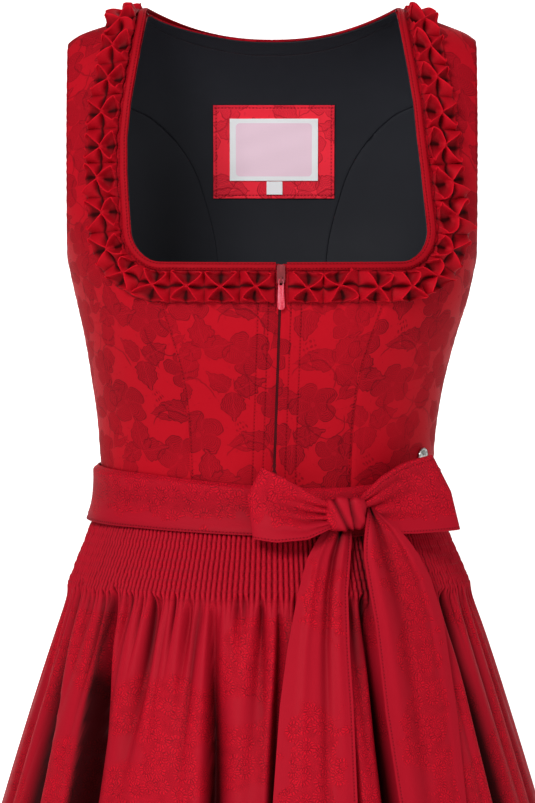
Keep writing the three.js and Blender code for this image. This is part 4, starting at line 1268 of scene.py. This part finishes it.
places = piece.data.uv_layers.new(name="pattern").uv
for corner in piece.data.loops:
    spot = piece.data.vertices[corner.vertex_index].co
    places[corner.index].vector = (spot.x + 0.3 * spot.y + 0.3, spot.z + 0.5 * spot.y + 0.6)
sewOn(piece, ["bow_knot"], "apron_cloth")
print("bow made")


# Patch, label and size tab
field = dict(insetX=4.6, insetZ=3.4, corner=3.0)  # mm, the coloured field of the woven label


def labelFinish():  # a white woven label with a plain pink field
    finish = Finish("woven label")
    left, right, low, high = (finish.border(side) for side in ("left", "right", "bottom", "top"))
    inX, inZ = left.least(right) / mm - field["insetX"], low.least(high) / mm - field["insetZ"]
    away = fromCentre((field["corner"] - inX).most(0), (field["corner"] - inZ).most(0)) - field["corner"]
    shown = away.rise(0.15, -0.15) * (low + high).rise(20 * mm, 30 * mm)  # the small tab has no field
    wave = finish.noise(finish.pattern(), 900, 3)
    colour = finish.mix(shown, (0.98, 0.98, 1, 1), srgb(255, 220, 236))
    colour = finish.mix(wave * 0.08, colour, (0.5, 0.45, 0.5, 1))
    finish.feed(Base_Color=colour, Roughness=0.55, Sheen_Weight=0.2)
    finish.bump(wave, 0.02 * mm)
    return finish.material


# The patch is the flowered satin, with lighter colours as painted light against the shade inside the neck
paintedLightSatin = dict(satin, ground=srgb(255, 50, 68), motif=srgb(206, 36, 54), line=srgb(150, 18, 32),
              vein=srgb(250, 50, 66))
patchSatin = clothFinish("patch satin", lambda finish, place: satinColours(finish, place, paintedLightSatin))
labelCloth = labelFinish()
labels = [
    dict(name="neck_patch", left=-44.4, right=47.4, top=-70, bottom=-141, lift=-3.4, thick=0.7, ripple=0.15,
         material=patchSatin, slot="bodice_satin", flat=(0.098, 0.073),
         stitches=[(side, 2.2) for side in ("left", "right", "bottom", "top")]),
    dict(name="neck_label", left=-32, right=35, top=-80, bottom=-127.5, lift=-4.7, thick=0.5, ripple=0.15,
         material=labelCloth, slot="label_cloth", flat=(0.071, 0.049), stitches=[]),
    dict(name="size_tab", left=-4, right=8, top=-128, bottom=-138, lift=-4.7, thick=0.5, ripple=0,
         material=labelCloth, slot="label_cloth", flat=(0.0125, 0.0105), stitches=[]),
]
for label in labels:
    surface = lambda u, level: pointAt(lerp(label["right"], label["left"], u), level, True)
    rows = levelAt(np.linspace(label["bottom"], label["top"], 49))
    lift = lambda u, v: label["lift"] + label["ripple"] * np.sin(u * 7 + v * 3) * np.sin(v * 9)
    piece = makeSheet(label["name"] + "_cloth", surface, np.linspace(0, 1, 65), rows, label["material"],
                      lift, label["thick"], 1, 0.15, label["stitches"])
    sewOn(piece, [label["name"]], label["slot"], flat=label["flat"], held="laid",
          rests_on=["lining_centre_back"])
print("labels made")


# Zip: two rows of teeth in the slit, and finishes for the tapes, the slider and its pull
zipTeeth = dict(top=-196, bottom=-361, pitch=1.4, size=(1.5, 0.9, 0.85), apart=0.42, inset=1.25, bevel=0.16)


def tapeFinish(name, ground):
    finish = Finish(name)
    x, y, z = finish.onPiece().parts(3)
    ribs = ((x + z) * (2 * math.pi / (0.9 * mm))).sine()
    uneven = finish.noise(finish.onPiece(), 300, 3)
    colour = finish.mix(uneven * 0.4 + ribs * 0.15 + 0.15, ground, dimmed(ground, 0.45))
    finish.feed(Base_Color=colour, Roughness=0.75 + ribs * 0.05, Specular_IOR_Level=0.15)
    finish.bump(ribs, 0.05 * mm)
    return finish.material


def lacquerFinish(name, ground, highlightColour, metallic, rough):  # painted metal, with painted highlights in streaks down it
    finish = Finish(name)
    place = finish.onPiece()
    highlightStreaks = finish.noise(finish.scaled(place, (420, 420, 60)), 1, 2).rise(0.5, 0.72)
    worn = finish.noise(place, 900, 3)
    colour = finish.mix(highlightStreaks * 0.6, ground, highlightColour)
    finish.feed(Base_Color=colour, Roughness=rough + worn * 0.15, Metallic=metallic, Coat_Weight=0.6)
    finish.bump(worn, 0.02 * mm)
    return finish.material


tape = tapeFinish("zip tape", srgb(96, 10, 20))
sliderLacquer = lacquerFinish("slider lacquer", srgb(120, 12, 24), srgb(160, 40, 52), 0.4, 0.3)
pullLacquer = lacquerFinish("pull lacquer", srgb(212, 42, 66), srgb(244, 150, 166), 0.1, 0.2)
zipParts = dict(zip_tape_left=tape, zip_tape_right=tape, zip_slider=sliderLacquer,
                zip_bridge=sliderLacquer, zip_pull=pullLacquer)
for name, material in zipParts.items():
    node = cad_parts[name]
    node.data.materials.clear()
    node.data.materials.append(material)

bm = bmesh.new()
count = int((zipTeeth["top"] - zipTeeth["bottom"]) / zipTeeth["pitch"] * 2)
for i in range(count):
    z = zipTeeth["top"] - i * zipTeeth["pitch"] / 2
    x = float(lookUp(zipLine, z)) + (zipTeeth["apart"] if i % 2 else -zipTeeth["apart"])
    y = float(pointAt(x, levelAt(z))[1]) + zipTeeth["inset"]
    shape = Matrix.Diagonal((*(size * mm for size in zipTeeth["size"]), 1))
    bmesh.ops.create_cube(bm, size=1, matrix=Matrix.Translation(Vector((x, y, z)) * mm) @ shape)
bmesh.ops.bevel(bm, geom=bm.edges[:], offset=zipTeeth["bevel"] * mm, offset_type="OFFSET", segments=1,
                profile=0.5, affect="EDGES", material=-1)
piece = solidPiece("zip_teeth", bm, tapeFinish("zip teeth", srgb(78, 12, 20)), smoothed=False)
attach(piece, "garment")
print("zip made")


# Silver button, turned with a rim and a low dome, at the right of the waist
button = dict(x=112.5, z=-327.5, proud=0.5, steps=64, profile=[  # from the axis, above the cloth
    (0.0, 2.9), (1.6, 2.8), (3.0, 2.45), (4.1, 1.9), (4.6, 1.45), (4.85, 1.5), (5.2, 1.75), (5.6, 1.8),
    (5.9, 1.5), (6.0, 1.1), (5.9, 0.5), (5.3, 0.0), (0.0, 0.0),
])
level = levelAt(button["z"])
turn = turnAt(button["x"], level)
spot = formPoint(turn, level)
acrossIt = formPoint(turn + 0.5, level) - formPoint(turn - 0.5, level)
upIt = formPoint(turn, level + 0.02) - formPoint(turn, level - 0.02)
outward = Vector(np.cross(acrossIt, upIt)).normalized()
bm = bmesh.new()
verts = [bm.verts.new((away * mm, 0, height * mm)) for away, height in button["profile"]]
edges = [bm.edges.new(pair) for pair in zip(verts, verts[1:])]
bmesh.ops.spin(bm, geom=verts + edges, cent=(0, 0, 0), axis=(0, 0, 1), angle=2 * math.pi,
               steps=button["steps"], use_merge=True)
bmesh.ops.remove_doubles(bm, verts=bm.verts, dist=0.001 * mm)
bmesh.ops.recalc_face_normals(bm, faces=bm.faces)
facing = outward.to_track_quat("Z", "Y").to_matrix().to_4x4()
place = Matrix.Translation((Vector(spot) + outward * button["proud"]) * mm) @ facing
bmesh.ops.transform(bm, matrix=place, verts=bm.verts)
silver = Finish("silver")
spots = silver.noise(silver.onPiece(), 700, 4)
colour = silver.mix(spots.rise(0.4, 0.65), srgb(214, 214, 212), srgb(120, 118, 114))
silver.feed(Base_Color=colour, Metallic=1.0, Roughness=0.22 + spots * 0.2)
silver.bump(spots, 0.08 * mm)
sewOn(solidPiece("side_button_silver", bm, silver.material), ["side_button"], "silver")
print("button made")


# Floor and backdrop, one pale sweep, in metres. The wall stands far back, so that the object is seen
# from behind as well.
sweep = dict(front=-11, flat=26, bend=2.5, run=36, halfWidth=14, floorZ=-1.06)
bm = bmesh.new()
bmesh.ops.create_grid(bm, x_segments=1, y_segments=90, size=1)
for vert in bm.verts:
    run = (vert.co.y + 1) / 2 * sweep["run"]
    past = max(0.0, run - sweep["flat"])
    bend = min(math.pi / 2, past / sweep["bend"])
    rise = sweep["bend"] * (1 - math.cos(bend)) + max(0.0, past - sweep["bend"] * math.pi / 2)
    y = sweep["front"] + run - past + sweep["bend"] * math.sin(bend)
    vert.co = Vector((vert.co.x * sweep["halfWidth"], y, sweep["floorZ"] + rise))
pale = Finish("pale floor")
# The sweep glows, dimly on the floor near the object and brightly from 3 m back, so that the backdrop shows
# white
far = pale.onPiece().parts()[1].rise(1.5, 3.0)
glow = pale.mix(far, (0.3, 0.3, 0.3, 1), (0.8, 0.8, 0.8, 1))
pale.feed(Base_Color=(0.86, 0.86, 0.87, 1), Roughness=0.7, Emission_Color=glow, Emission_Strength=1.0)
solidPiece("floor", bm, pale.material)
